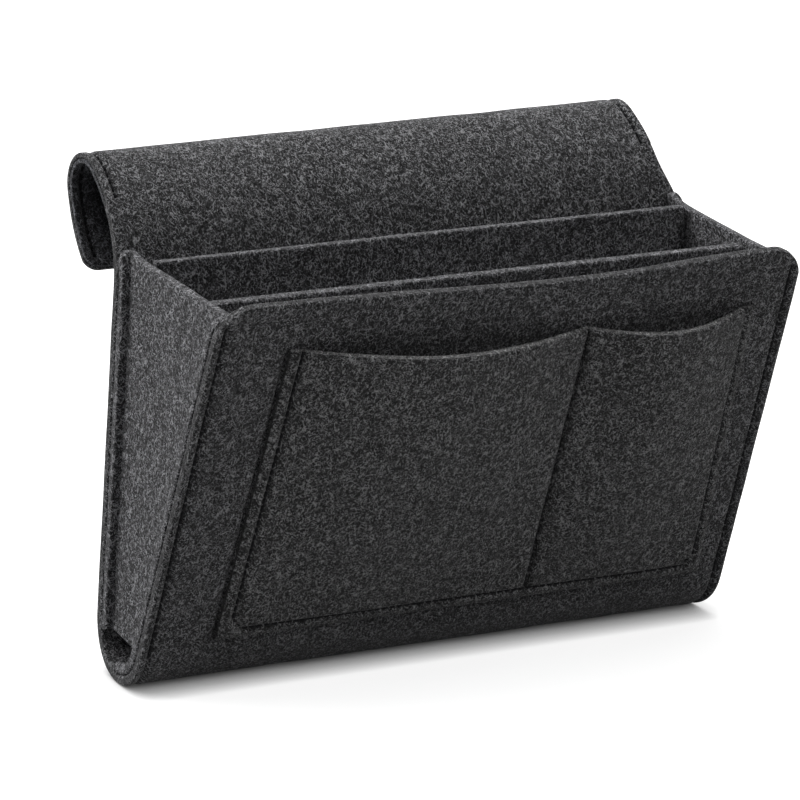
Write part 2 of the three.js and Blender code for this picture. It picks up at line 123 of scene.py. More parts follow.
class CaddySizes(bpy.types.PropertyGroup):
    """Sizes of the felt pieces and their places"""

    width: FloatProperty(
        name="Width",
        description="Width of the wrap",
        default=WRAP_HIGH.x - WRAP_LOW.x,
        unit="LENGTH",
        subtype="DISTANCE",
    )
    felt: distance("Felt", 4, "Thickness of the box's felt")
    ply: distance("Ply", 2, "Thickness of one of the flap's two plies")
    clear: distance("Clearance", 0.3, "Gap between pieces that touch")
    rim_height: distance("Rim height", 174, "Height of the front rim above the lowest point")
    rim_depth: distance("Rim depth", 88, "Depth from the back wall to the front rim")
    bottom_radius: distance("Bottom radius", 22, "Outer radius of the round bottom")
    rim_corner_radius: distance("Rim corner radius", 15, "Radius of the front rim's two corners")
    rim_sag: distance("Rim sag", 3.8, "How far the front rim dips")
    rim_sag_place: share("Rim sag place", 0.62, "Where across the rim it dips the most")
    lip: distance("Lip", 6, "How far the wrap's edges stand out past the gussets")
    seam_inset: distance("Seam inset", 4, "Distance of the lip's stitches from the wrap's edge")
    seam_start: distance("Seam start", 8, "Distance of the first stitch from the top of a lip")
    back_lip: distance("Back lip", 3.2, "How far the wrap's back edge stands out past the gussets")
    gusset_drop: distance("Gusset drop", 0.5, "Gussets' end below the rim at the back")
    gusset_front_drop: distance("Gusset front drop", 6.5, "Gussets' end below the rim at the front")
    gusset_dip: distance("Gusset dip", 1.8, "How far a gusset's top edge dips in its middle")
    gusset_foot_back: distance("Gusset foot, back", 18.4, "Height of the gusset's lower end at the back")
    gusset_foot_front: distance("Gusset foot, front", 12, "Height of the gusset's lower end at the front")
    flange_tail: distance("Flange tail", 22, "How far a front flange runs on below its gusset")
    gusset_bend_radius: distance("Gusset bend radius", 2.2, "Middle radius of a flange's bend")
    gusset_bow: distance("Gusset bow", 0.8, "How far a gusset's middle bows into the box")
    rear_divider_depth: distance("Rear divider depth", 17.5, "Depth of the rear divider's middle")
    rear_divider_drop: distance("Rear divider drop", 0.5, "How far the rear divider ends below the rim")
    front_divider_depth: distance("Front divider depth", 59, "Depth of the front divider's top")
    front_divider_foot: distance("Front divider foot", 32, "Depth of the front divider's foot")
    front_divider_drop: distance("Front divider drop", 5.5, "How far the front divider ends below the rim")
    pocket_left_top: distance(
        "Panel left, top", 33.8, "Top of the panel's left side, from the wrap's left edge"
    )
    pocket_left_foot: distance(
        "Panel left, foot", 30.7, "Foot of the panel's left side, from the wrap's left edge"
    )
    pocket_right_top: distance(
        "Panel right, top", 20, "Top of the panel's right side, from the wrap's right edge"
    )
    pocket_right_foot: distance(
        "Panel right, foot", 15, "Foot of the panel's right side, from the wrap's right edge"
    )
    pocket_separator: distance("Separator", 170.5, "Seam between the pockets, from the wrap's left edge")
    pocket_foot_rise: distance("Pocket foot rise", 7.7, "Panel's foot above the start of the bottom's bend")
    pocket_seam_inset: distance("Pocket seam inset", 5, "Distance of the panel's stitches from its edge")
    edge_press: distance("Edge press", 1.9, "How much thinner the panel's sewn sides and foot are pressed")
    mouth_left: distance("Mouth, left", 20.5, "Mouth below the rim at the panel's left side")
    mouth_separator: distance("Mouth, separator", 25.5, "Mouth below the rim at the separator")
    mouth_right: distance("Mouth, right", 24.5, "Mouth below the rim at the panel's right side")
    left_mouth_sag: distance("Left mouth sag", 0.8, "How far the left pocket's mouth dips")
    right_mouth_sag: distance("Right mouth sag", 0.6, "How far the right pocket's mouth dips")
    left_bulge: distance("Left bulge", 11, "How far the left pocket stands open")
    right_bulge: distance("Right bulge", 10, "How far the right pocket stands open")
    bend_drop: distance("Bend drop", 14.8, "How far below the rim the back wall starts to bend")
    riser_radius: distance("Riser radius", 49.9, "Radius of the first bend of the back wall")
    riser_turn: angle("Riser turn", 58.7, "Turn of the first bend of the back wall")
    crown_radius: distance("Crown radius", 11.9, "Radius of the crown")
    crown_turn: angle("Crown turn", 136.7, "Turn of the crown")
    leaf_radius: distance("Leaf radius", 57.8, "Radius of the hanging leaf")
    leaf_length: distance("Leaf length", 34.5, "Length of the hanging leaf")
    leaf_corner_radius: distance("Leaf corner radius", 6, "Radius of the leaf's lower corners")
    flap_right_inset: distance("Flap right inset", 3.75, "Flap's end from the wrap's right edge")
    flap_seam_inset: distance("Flap seam inset", 4.5, "Distance of the flap's stitches from its ends")
    join_turn: angle("Join turn", 40, "Turn of the riser where the flap's two plies start")
    back_fold_rise: distance("Back fold rise", 3, "Height of the back fold above the rim")
    leaf_fold_turn: angle("Leaf fold turn", 127.5, "Turn from the back wall to the leaf's fold")
    flare: distance("Flare", 3, "How far each end of the front wall widens to the foot")
    lean: distance("Lean", 6.8, "How far the back wall's right end leans in at the rim")
    crown_lean: distance("Crown lean", 13.9, "How far the crown's right end leans in")
    crown_rise: distance("Crown rise", 1.3, "How much higher the crown lies at the right end")


class CaddyStitches(bpy.types.PropertyGroup):
    """Sizes of the stitches"""

    pitch: distance("Pitch", 3.4, "Distance from one stitch to the next")
    length: distance("Length", 2.8, "Length of one stitch")
    radius: distance("Radius", 0.6, "Radius of the thread")
    depth: distance("Depth", 1.35, "How far a stitch lies below the felt's face")
    dip: distance("Dip", 0.9, "How far a stitch's ends go further down")


class CaddyFinish(bpy.types.PropertyGroup):
    """Colours of the felt and the thread"""

    wrap: colour("Wrap felt", (0.051, 0.051, 0.053, 1), "Colour of the wrap and the flap")
    inner: colour("Inner felt", (0.058, 0.058, 0.061, 1), "Colour of the gussets and the dividers")
    # The lining's dark colour is painted shade: it stands for the shade inside the hook, where the flap's
    # inner ply shows
    lining: colour("Lining", (0.024, 0.0245, 0.027, 1), "Colour of the flap's inner ply")
    pocket: colour("Pocket felt", (0.053, 0.053, 0.054, 1), "Colour of the pocket panel")
    thread: colour("Thread", (0.009, 0.009, 0.01, 1), "Colour of the sewing thread")


class CaddyStage(bpy.types.PropertyGroup):
    """The camera and the lights"""

    azimuth: angle("Azimuth", 31.76, "Turn of the camera from facing the front")
    elevation: angle("Elevation", 17.77, "Height of the camera above the horizon")
    roll: angle("Roll", -3.74, "Roll of the camera")
    distance: distance("Distance", 2448, "Distance of the camera along its view")
    shift_right: distance("Shift right", 13.6, "How far the view's middle lies right of the target")
    shift_down: distance("Shift down", 15.39, "How far the view's middle lies below the target")
    lens: FloatProperty(name="Lens", description="Focal length", default=271.96, unit="CAMERA")
    key_power: power("Key power", 17.5, "Power of the left key light")
    top_power: power("Top power", 50, "Power of the top light")
    fill_power: power("Fill power", 6.5, "Power of the front fill light")
    sky: share("Sky", 0.05, "Strength of the even light all round")


# Lines and grids

def advance(y, z, heading, bend, length):
    """The end of an arc in the YZ plane, by its curvature to the left and its length"""
    turned = heading + bend * length
    if bend == 0:
        return y + length * np.cos(heading), z + length * np.sin(heading), turned
    return (
        y + (np.sin(turned) - np.sin(heading)) / bend,
        z - (np.cos(turned) - np.cos(heading)) / bend,
        turned,
    )


class Line:
    """A line in the YZ plane made of runs, each with its length and its turn to the left"""

    def __init__(self, y, z, heading, runs):
        self.runs = []
        self.starts = []
        start = 0
        for length, turn in runs:
            self.runs.append((start, y, z, heading, turn / length))
            y, z, heading = advance(y, z, heading, turn / length, length)
            self.starts.append(start)
            start += length
        self.length = start

    def at(self, along):
        """Places and headings at distances along the line"""
        along = np.asarray(along, float)
        y, z, heading = (np.empty_like(along) for _ in range(3))
        for start, *place, bend in self.runs:
            here = (along >= start) | (start == 0)
            y[here], z[here], heading[here] = advance(*place, bend, along[here] - start)
        return y, z, heading

    def beside(self, along, left):
        """Places a distance to the left of the line"""
        y, z, heading = self.at(along)
        return y - left * np.sin(heading), z + left * np.cos(heading)

    def left_side(self, along):
        """Directions to the left of the line"""
        heading = self.at(along)[2]
        return np.stack([np.zeros_like(heading), -np.sin(heading), np.cos(heading)], axis=-1)


def smooth(value):
    value = np.clip(value, 0, 1)
    return value * value * (3 - 2 * value)


def hump(value):
    return np.sin(math.pi * np.clip(value, 0, 1))


def stations(length, step, marks=(), rounded=(True, True)):
    """Places along a side: close together at its ends and at the marks, and at most a step apart"""
    fine = {0, length}
    if rounded[0]:
        fine.update(EDGE_OFFSETS)
    if rounded[1]:
        fine.update(length - offset for offset in EDGE_OFFSETS)
    for mark in marks:
        fine.update(mark + sign * offset for offset in ROW_OFFSETS for sign in (-1, 1))
    kept = [0]
    for place in sorted(fine):
        if place - kept[-1] > LEAST_STEP and length - place > LEAST_STEP:
            kept.append(place)
    kept.append(length)
    filled = []
    for one, other in zip(kept, kept[1:]):
        count = max(1, math.ceil((other - one) / step))
        filled.extend(np.linspace(one, other, count, endpoint=False))
    return np.array([*filled, length])


def run_along(points):
    """Distances along a path, at each of its points"""
    return np.concatenate([[0], np.cumsum(np.linalg.norm(np.diff(points, axis=0), axis=-1))])


def corner_cut(inset, radius):
    """How far a round corner lies inside a square one, by the distance from the corner's side"""
    return radius - np.sqrt(radius**2 - np.maximum(radius - inset, 0) ** 2)


def insets(places, rounded=(True, True)):
    """How far each place lies from the rounded ends"""
    low = places - places[0] if rounded[0] else np.full(len(places), FAR)
    high = places[-1] - places if rounded[1] else np.full(len(places), FAR)
    return np.minimum(low, high)


def nearest_edge(down_insets, across_insets):
    """How far each point of a grid lies from its cut edges, by the insets of its rows and its columns"""
    return np.minimum(down_insets[:, None], across_insets[None, :])


def groove(x, along, rows, size=GROOVE):
    """How far the felt is moved out, below zero for a groove. A row of stitches is a list of corners."""
    nearest = np.full(np.broadcast(x, along).shape, FAR)
    for corners in rows:
        for (x0, a0), (x1, a1) in zip(corners, corners[1:]):
            dx, da = x1 - x0, a1 - a0
            part = np.clip(((x - x0) * dx + (along - a0) * da) / (dx * dx + da * da), 0, 1)
            nearest = np.minimum(nearest, np.hypot(x - x0 - part * dx, along - a0 - part * da))
    depth, reach = size
    return -depth * np.exp(-((nearest / reach) ** 2))


def waves(x, along, side):
    """Low waves over a face"""
    draw = np.random.default_rng(WAVE_SEED + side)
    total = np.zeros(np.broadcast(x, along).shape)
    for length in np.geomspace(*WAVE_LENGTHS, WAVE_COUNT):
        turn, phase = draw.uniform(0, 2 * math.pi, 2)
        total += np.sin((x * math.cos(turn) + along * math.sin(turn)) * 2 * math.pi / length + phase)
    return total * WAVE_HEIGHT / math.sqrt(WAVE_COUNT)


def unit(vectors):
    return vectors / np.maximum(np.linalg.norm(vectors, axis=-1, keepdims=True), TINY)


def felt_solid(name, middle, thickness, inset, lifts, materials, split=None, first_edge=1):
    """A closed sheet of felt round a grid of middle points. Its face is on the side of down cross across.
    inset is each point's distance from the cut edges, and lifts moves the face and the back out. split is
    how deep the line between two plies cuts into the edge. first_edge is the first row's material."""
    rows, columns = middle.shape[:2]
    down = np.gradient(middle, axis=0)
    across = np.gradient(middle, axis=1)
    normal = unit(np.cross(down, across))
    radius = EDGE_ROUNDING_SHARE * thickness
    half = thickness / 2 - corner_cut(inset, radius)
    face = middle + normal * (half + lifts[0])[..., None]
    back = middle - normal * (half + lifts[1])[..., None]

    outline = [(0, j) for j in range(columns)]
    outline += [(i, columns - 1) for i in range(1, rows)]
    outline += [(rows - 1, j) for j in range(columns - 2, -1, -1)]
    outline += [(i, 0) for i in range(rows - 2, 0, -1)]
    i, j = np.array(outline).T
    out = (
        unit(down)[i, j] * ((i == rows - 1).astype(float) - (i == 0))[:, None]
        + unit(across)[i, j] * ((j == columns - 1).astype(float) - (j == 0))[:, None]
    )
    out = unit(out)
    wall = (0.5 - EDGE_ROUNDING_SHARE) * np.broadcast_to(thickness, middle.shape[:2])[i, j][:, None]
    cut = 0 if split is None else split[i, j][:, None]
    rings = [
        middle[i, j] + normal[i, j] * wall * height - out * cut * (height == 0)
        for height in (WALL_RINGS if split is None else PLY_RINGS)
    ]

    count = rows * columns
    index = np.arange(count).reshape(rows, columns)
    a, b, c, d = index[:-1, :-1], index[:-1, 1:], index[1:, 1:], index[1:, :-1]
    face_quads = np.stack([a, d, c, b], axis=-1).reshape(-1, 4)
    back_quads = np.stack([a, b, c, d], axis=-1).reshape(-1, 4) + count
    loops = [index[i, j] + count]
    loops += [2 * count + number * len(outline) + np.arange(len(outline)) for number in range(len(rings))]
    loops.append(index[i, j])
    wall_quads = []
    for lower, upper in zip(loops, loops[1:]):
        wall_quads.append(np.stack([lower, upper, np.roll(upper, -1), np.roll(lower, -1)], axis=-1))
    wall_quads = np.concatenate(wall_quads)

    u, v = run_along(middle[rows // 2]), run_along(middle[:, columns // 2])
    flat = np.stack(np.meshgrid(u, v), axis=-1).reshape(-1, 2)
    perimeter = run_along(middle[np.append(i, i[0]), np.append(j, j[0])])
    levels = np.linspace(0, 1, len(loops)) * float(np.mean(thickness))
    wall_places = []
    for lower, upper in zip(levels, levels[1:]):
        start, end = perimeter[:-1], perimeter[1:]
        low, high = np.full(len(start), lower), np.full(len(start), upper)
        corners = [(start, low), (start, high), (end, high), (end, low)]
        wall_places.append(np.stack([np.stack(corner, axis=-1) for corner in corners], axis=1))
    places = np.concatenate([flat[face_quads], flat[back_quads - count], *wall_places])

    vertices = np.concatenate([face.reshape(-1, 3), back.reshape(-1, 3), *rings])
    quads = np.concatenate([face_quads, back_quads, wall_quads])
    slots = np.zeros(len(quads), int)
    walls = slots[len(face_quads) + len(back_quads):].reshape(len(rings) + 1, len(outline))
    walls[:] = 1
    walls[:, : columns - 1] = first_edge
    return new_object(name, vertices, quads.tolist(), materials, places, slots)


def add_object(name, data):
    made = bpy.data.objects.new(name, data)
    bpy.context.collection.objects.link(made)
    return made


def new_object(name, vertices, faces, materials, places=None, slots=None):
    mesh = bpy.data.meshes.new(name)
    mesh.from_pydata(vertices.tolist(), [], faces)
    for material in materials:
        mesh.materials.append(material)
    if places is not None:
        mesh.uv_layers.new(name="UVMap").data.foreach_set("uv", places.ravel())
    if slots is not None:
        mesh.polygons.foreach_set("material_index", slots)
    mesh.shade_smooth()
    mesh.set_sharp_from_angle(angle=SHARP_ANGLE)
    mesh.update()
    return add_object(name, mesh)


# How fast the lean grows with the height
LEAN_POWER = 3.5
# How fast a gusset's top dips, as a share of its depth
DIP_SHARE = 0.06
# How far from its right end the riser is drawn in to the flap's width, in widths of the lip
STEP_LIPS = 8


class Form:
    """What follows from the sizes: the felt's middle line, from the front rim to the leaf's edge, and
    places on it and beside it"""

    def __init__(self, sizes):
        s = sizes
        self.sizes = s
        self.half = s.width / 2
        self.back_y = WRAP_LOW.y + s.rim_depth
        self.floor_z = WRAP_LOW.z
        radius = s.bottom_radius
        beyond, above = s.rim_depth - radius, s.rim_height - radius
        reach = math.hypot(beyond, above)
        self.slope = math.acos(radius / reach) - math.atan2(above, beyond)
        self.slope_length = math.sqrt(reach**2 - radius**2)
        self.thick = 2 * s.ply + s.clear
        straight = s.rim_height - s.bend_drop - radius
        runs = [
            (self.slope_length, 0),
            ((radius - s.felt / 2) * (math.pi - self.slope), math.pi - self.slope),
            (straight, 0),
            (s.riser_radius * s.riser_turn, -s.riser_turn),
            (s.crown_radius * s.crown_turn, -s.crown_turn),
            (s.leaf_length, -s.leaf_length / s.leaf_radius),
        ]
        self.line = Line(
            self.back_y - s.rim_depth + s.felt / 2 * math.cos(self.slope),
            self.floor_z + s.rim_height + s.felt / 2 * math.sin(self.slope),
            self.slope - math.pi / 2,
            runs,
        )
        self.wall_start, self.riser_start, self.crown_start = self.line.starts[2:5]
        self.join = self.riser_start + s.riser_radius * s.join_turn
        self.back_fold = self.rising(s.rim_height + s.back_fold_rise)
        self.gusset_top = self.rising(s.rim_height - s.gusset_drop)
        self.leaf_fold = self.crown_start + s.crown_radius * (s.leaf_fold_turn - s.riser_turn)
        self.crown_top = self.crown_start + s.crown_radius * (math.pi / 2 - s.riser_turn)
        self.crown_height = float(self.line.at(self.crown_top)[1]) - self.floor_z
        self.foot = self.slope_length - s.pocket_foot_rise
        self.seam_foot = self.foot - s.pocket_seam_inset

    def rising(self, height):
        """The place on the line where the riser passes a height"""
        s = self.sizes
        risen = height - s.rim_height + s.bend_drop
        return self.riser_start + s.riser_radius * math.asin(risen / s.riser_radius)

    def lean(self, x, height, back_share):
        """How far a place leans in, by its height and its share of the way from the front to the back"""
        s = self.sizes
        low = s.lean * (np.clip(height / s.rim_height, 0, 1)) ** LEAN_POWER
        risen = np.clip((height - s.rim_height) / (self.crown_height - s.rim_height), 0, 1)
        return (low + (s.crown_lean - s.lean) * risen) * np.clip(x / self.half, 0, 1) * back_share

    def flared(self, x, share):
        """A place across, moved out by its share of the front wall's flare"""
        return x * (1 + self.sizes.flare / self.half * share)

    def points(self, x, along, left=0):
        """Points beside the middle line, at places across, with the flare, the lean and the crown's rise"""
        s = self.sizes
        x, along, left = np.broadcast_arrays(x, along, left)
        y, z = self.line.beside(along, left)
        height = self.line.at(np.minimum(along, self.crown_top))[1] - self.floor_z
        risen = smooth((along - self.riser_start) / (self.crown_start - self.riser_start))
        z = z + s.crown_rise * (x / s.width + 0.5) * risen
        front = np.clip(along / self.slope_length, 0, 1)
        round_bottom = smooth((along - self.slope_length) / (self.wall_start - self.slope_length))
        x = self.flared(x, front * (1 - round_bottom)) - self.lean(x, height, along > self.wall_start)
        return np.stack([x, y, z], axis=-1)

    def wall_depth(self, height):
        """Depth of the room's front at a height"""
        return self.sizes.rim_depth - (self.sizes.rim_height - height) * math.tan(self.slope)

    def rim(self, x):
        """How far the rim's round corners and its sag lie below its top, at places across"""
        s = self.sizes
        corner = corner_cut(np.maximum(self.half - np.abs(x), 0), s.rim_corner_radius)
        inner = self.half - s.rim_corner_radius
        lowest = s.width * s.rim_sag_place - self.half
        end = np.where(x < lowest, -inner, inner)
        part = np.clip((x - lowest) / (end - lowest), 0, 1)
        return corner + s.rim_sag / 2 * (1 + np.cos(math.pi * part))

    def joining(self, along):
        """0 at the gussets' top and 1 where the flap's two plies start"""
        return smooth((along - self.gusset_top) / (self.join - self.gusset_top))

    def lip_row(self, side):
        return side * (self.half - self.sizes.seam_inset)

    def end_shift(self, x, along):
        """How far the right end steps in towards the flap"""
        s = self.sizes
        rise = smooth((along - self.gusset_top + s.lip) / (self.join - self.gusset_top))
        reach = STEP_LIPS * s.lip
        return s.flap_right_inset * rise * smooth((x - self.half + reach) / reach)

    def flap_row(self, side):
        s = self.sizes
        if side < 0:
            return s.flap_seam_inset - self.half
        return self.half - s.flap_right_inset - s.flap_seam_inset

    def back_row(self, side, along):
        """The stitches' place across, which moves from the lip's row to the flap's"""
        start, end = self.lip_row(side), self.flap_row(side)
        return start + (end - start) * self.joining(along)

    def front(self, x, down, lift):
        """Points off the front wall's outer face, by their distance down the slope and out of the face"""
        x, down, lift = np.broadcast_arrays(x, down, lift)
        x = self.flared(x, np.clip(down / self.slope_length, 0, 1))
        sine, cosine = math.sin(self.slope), math.cos(self.slope)
        y = self.back_y - self.sizes.rim_depth + down * sine - lift * cosine
        z = self.floor_z + self.sizes.rim_height - down * cosine - lift * sine
        return np.stack([x, y, z], axis=-1)

    def fold_ends(self, place, before, after):
        """Two points before and after a fold, along the felt's heading there"""
        y, z, heading = (float(value) for value in self.line.at(place))
        ahead = Vector((0, math.cos(heading), math.sin(heading)))
        middle = Vector((0, y, z))
        return middle - ahead * before, middle + ahead * after


def current_form():
    return Form(bpy.context.scene.caddy_sizes)


# Distances before and after each fold to two points along the felt; the points are found and not used
BACK_BEND = (3.5 * MM, 13 * MM)
LEAF_BEND = (8 * MM, 8 * MM)


def bend_at_back(piece, form):
    start, end = form.fold_ends(form.back_fold, *BACK_BEND)
    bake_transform(piece)
    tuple(start)
    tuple(end)


def bend_at_leaf(piece, form):
    start, end = form.fold_ends(form.leaf_fold, *LEAF_BEND)
    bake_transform(piece)
    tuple(start)
    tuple(end)


# Materials

def add_node(tree, kind, inputs=None, **settings):
    made = tree.nodes.new(kind)
    for key, value in settings.items():
        setattr(made, key, value)
    for socket, value in (inputs or {}).items():
        if isinstance(value, bpy.types.NodeSocket):
            tree.links.new(value, made.inputs[socket])
        else:
            made.inputs[socket].default_value = value
    return made


def calculate(tree, operation, *values):
    return add_node(tree, "ShaderNodeMath", dict(enumerate(values)), operation=operation).outputs[0]


# Sockets of the mix node for colours
MIX_AMOUNT, MIX_ONE, MIX_OTHER, MIX_RESULT = 0, 6, 7, 2


def blend_colours(tree, amount, one, other):
    """A mix of two colours"""
    inputs = {MIX_AMOUNT: amount, MIX_ONE: one, MIX_OTHER: other}
    return add_node(tree, "ShaderNodeMix", inputs, data_type="RGBA").outputs[MIX_RESULT]


def remap(tree, value, low, high):
    """0 below low and 1 above high, with a soft change between"""
    inputs = {"Value": value, "From Min": low, "From Max": high}
    return add_node(tree, "ShaderNodeMapRange", inputs, interpolation_type="SMOOTHSTEP").outputs["Result"]


def new_group(name, outputs):
    """A node group that turns a Vector into values, with its input socket and its output sockets"""
    tree = bpy.data.node_groups.new(name, "ShaderNodeTree")
    tree.interface.new_socket("Vector", in_out="INPUT", socket_type="NodeSocketVector")
    for label in outputs:
        tree.interface.new_socket(label, in_out="OUTPUT", socket_type="NodeSocketFloat")
    place = tree.nodes.new("NodeGroupInput").outputs["Vector"]
    return tree, place, tree.nodes.new("NodeGroupOutput").inputs


# Curled fibres of the felt: noise scale, half thickness of the lines, and the offset of each layer
FIBRE_LAYERS = [
    (180, 0.008, (0.31, 0.12, 0.77)),
    (260, 0.012, (0.83, 0.45, 0.19)),
    (370, 0.016, (0.57, 0.91, 0.36)),
]
# Straighter fibres: noise scale, and the direction that each layer's strands run in
STRAND_LAYERS = [
    (1750, (0.89, 0.1, 0.45)),
    (1600, (-0.44, 0.2, 0.87)),
    (1900, (0.7, -0.3, -0.65)),
    (1700, (0.25, 0.85, 0.46)),
    (1850, (-0.3, 0.8, -0.52)),
    (1650, (0.15, -0.1, 0.98)),
]
# How much longer than thick a strand is, and the noise values where it starts and is full
STRAND_STRETCH = 7
STRAND_RANGE = (0.67, 0.79)
# The noise that bends the fibres, and how far
WARP_SCALE, WARP_REACH = 430, 1.6 * MM
# Scale of each noise, and the values between which its mask changes
PATCH_SCALE, PATCH_RANGE = 430, (0.42, 0.6)
SHINE_SCALE, SHINE_RANGE = 310, (0.38, 0.66)
# The specks are painted glints: bright fibre ends where the light catches them
GLINT_SCALE, GLINT_RANGE = 620, (0.1, 0.34)
GRAIN_SCALE, GRAIN_RANGE = 1000, (0.12, 0.6)
PORE_SCALE, PORE_RANGE = 620, (0.52, 0.64)
CLUMP_SCALE = 240
CLOUD_SCALE = 30
# Which of the painted glints are seen, by their random value
GLINT_PICK = (0.66, 0.9)
# Strength of the fibres where they shine least, and what the shine adds to it
SHINE_LEAST, SHINE_GAIN = 0.58, 0.6
# The noise value that the lines of the curled fibres follow, and where a line fades, in half thicknesses
LINE_LEVEL, LINE_EDGE = 0.5, (0.4, 1.6)
# Shares of the grain, the clumps and the clouds in the felt's tone
TONE_SHARES = (0.5, 0.32, 0.18)
# Heights of the fibres and the clumps, and the depth of the pores
FIBRE_HEIGHT, CLUMP_HEIGHT, PORE_DEPTH = 0.6, 0.8, 0.5


def felt_group():
    """Masks of the felt's loose fibres with painted glints, its pores with painted shade, and its uneven
    tone, and the height of its surface
    """
    tree, place, leave = new_group("felt fibres", ["Fibres", "Pores", "Tone", "Height"])

    def plus(one, other):
        return calculate(tree, "ADD", one, other)

    def times(one, other):
        return calculate(tree, "MULTIPLY", one, other)

    def vectors(operation, one, other):
        socket = "Scale" if operation == "SCALE" else 1
        made = add_node(tree, "ShaderNodeVectorMath", {0: one, socket: other}, operation=operation)
        return made.outputs["Value" if operation == "DOT_PRODUCT" else 0]

    def noise(scale, offset=(0, 0, 0), detail=0, at=place):
        """Noise with an offset of its own, so that no two patterns lie over each other"""
        settings = {"Vector": vectors("ADD", at, offset), "Scale": scale, "Detail": detail}
        return add_node(tree, "ShaderNodeTexNoise", settings).outputs

    def without(mask):
        return calculate(tree, "SUBTRACT", 1, mask)

    def line_at(value, width):
        off_line = calculate(tree, "ABSOLUTE", calculate(tree, "SUBTRACT", value, LINE_LEVEL))
        return without(remap(tree, off_line, *(width * edge for edge in LINE_EDGE)))

    push = vectors("SUBTRACT", noise(WARP_SCALE, detail=1)["Color"], (0.5, 0.5, 0.5))
    bent = vectors("ADD", place, vectors("SCALE", push, WARP_REACH))
    layers = []
    for scale, width, offset in FIBRE_LAYERS:
        line = line_at(noise(scale, offset, at=bent)["Fac"], width)
        patches = remap(tree, noise(PATCH_SCALE, offset)["Fac"], *PATCH_RANGE)
        layers.append(times(line, patches))
    for scale, direction in STRAND_LAYERS:
        squeezed = times(vectors("DOT_PRODUCT", bent, direction), 1 / STRAND_STRETCH - 1)
        stretched = vectors("ADD", bent, vectors("SCALE", direction, squeezed))
        layers.append(remap(tree, noise(scale, direction, at=stretched)["Fac"], *STRAND_RANGE))
    fibres = layers[0]
    for layer in layers[1:]:
        fibres = plus(fibres, layer)
    grain = noise(GRAIN_SCALE, (0.9, 0.3, 0.6), detail=1)["Fac"]
    shine = remap(tree, noise(SHINE_SCALE, (0.5, 0.2, 0.8))["Fac"], *SHINE_RANGE)
    shine = calculate(tree, "MULTIPLY_ADD", shine, SHINE_GAIN, SHINE_LEAST)
    fibres = times(fibres, times(remap(tree, grain, *GRAIN_RANGE), shine))
    # Painted glints of the fibres' ends, as small bright specks among the fibres
    cells = add_node(tree, "ShaderNodeTexVoronoi", {"Vector": place, "Scale": GLINT_SCALE})
    glints = without(remap(tree, cells.outputs["Distance"], *GLINT_RANGE))
    glints = times(glints, remap(tree, cells.outputs["Color"], *GLINT_PICK))
    fibres = calculate(tree, "MAXIMUM", fibres, glints)
    pores = remap(tree, noise(PORE_SCALE, (0.2, 0.6, 0.4), detail=1)["Fac"], *PORE_RANGE)
    clumps = noise(CLUMP_SCALE, (0.7, 0.1, 0.5), detail=3)["Fac"]
    clouds = noise(CLOUD_SCALE, (0.4, 0.8, 0.2), detail=2)["Fac"]
    parts = [times(value, part) for value, part in zip((grain, clumps, clouds), TONE_SHARES)]
    tone = plus(plus(parts[0], parts[1]), parts[2])
    height = plus(times(fibres, FIBRE_HEIGHT), times(clumps, CLUMP_HEIGHT))
    height = calculate(tree, "SUBTRACT", height, times(pores, PORE_DEPTH))
    for label, value in (("Fibres", fibres), ("Pores", pores), ("Tone", tone), ("Height", height)):
        tree.links.new(value, leave[label])
    return tree


# Stripes of a cut edge: noise scales along the edge and across it, and the values between which they change
STRIPE_SCALES = (160, 1500, 1)
STRIPE_RANGE = (0.38, 0.64)
STRIPE_NOISE = {"Scale": 1, "Detail": 3, "Distortion": 0.4}


def edge_group():
    """Stripes along a cut edge, where the felt's layers show"""
    tree, place, leave = new_group("cut edge stripes", ["Stripes"])
    factors = {0: place, 1: STRIPE_SCALES}
    stretched = add_node(tree, "ShaderNodeVectorMath", factors, operation="MULTIPLY").outputs[0]
    stripes = add_node(tree, "ShaderNodeTexNoise", {"Vector": stretched, **STRIPE_NOISE}).outputs["Fac"]
    tree.links.new(remap(tree, stripes, *STRIPE_RANGE), leave["Stripes"])
    return tree


# Painted light and shade on each felt's cut edges, as a factor of its faces: above 1 the light that their
# rounded, fuzzy edges catch, below 1 their shade. The pocket's first paints the shadow along its sewn sides
# and foot; its second is its mouths', painting the light on their top edges.
EDGE_PAINTED_LIGHT = {"wrap": [0.95], "inner": [1.4], "lining": [2], "pocket": [0.2, 3]}
# Factors of a felt's colour for the dark and light tone, the pores' painted shade, the fibres and the
# stripes
TONE_DARK, TONE_LIGHT, PORE_SHADE_TINT, FIBRE_TINT, STRIPE_TINT = 0.2, 0.9, 0.12, 8.2, 2.3
TONE_RANGE = (0.38, 0.62)
# How much of the pores' painted shade and the stripes' colours is mixed in
PORE_SHARE, STRIPE_SHARE = 0.8, 0.45
FELT_BUMP = {"Strength": 0.9, "Distance": 0.5 * MM}
FELT_SURFACE = {
    "Roughness": 0.95,
    "Specular IOR Level": 0.15,
    "Sheen Weight": 0.12,
    "Sheen Roughness": 0.5,
}
# The thread's twist, with its dark and light factors, and the thread's surface
TWIST_NOISE = {"Scale": 2600, "Detail": 1}
TWIST_RANGE = (0.35, 0.65)
TWIST_DARK, TWIST_LIGHT = 0.6, 1.9
THREAD_BUMP = {"Strength": 0.6, "Distance": 0.1 * MM}
THREAD_SURFACE = {"Roughness": 0.8, "Specular IOR Level": 0.1}


def scaled(tint, factor):
    return (*(min(channel * factor, 1) for channel in tint[:3]), 1)


def new_material(name, surface):
    """The node tree and the shader of a new material, with its constants set"""
    material = bpy.data.materials.new(name)
    material.use_nodes = True
    shader = material.node_tree.nodes["Principled BSDF"]
    for socket, value in surface.items():
        shader.inputs[socket].default_value = value
    return material.node_tree, shader


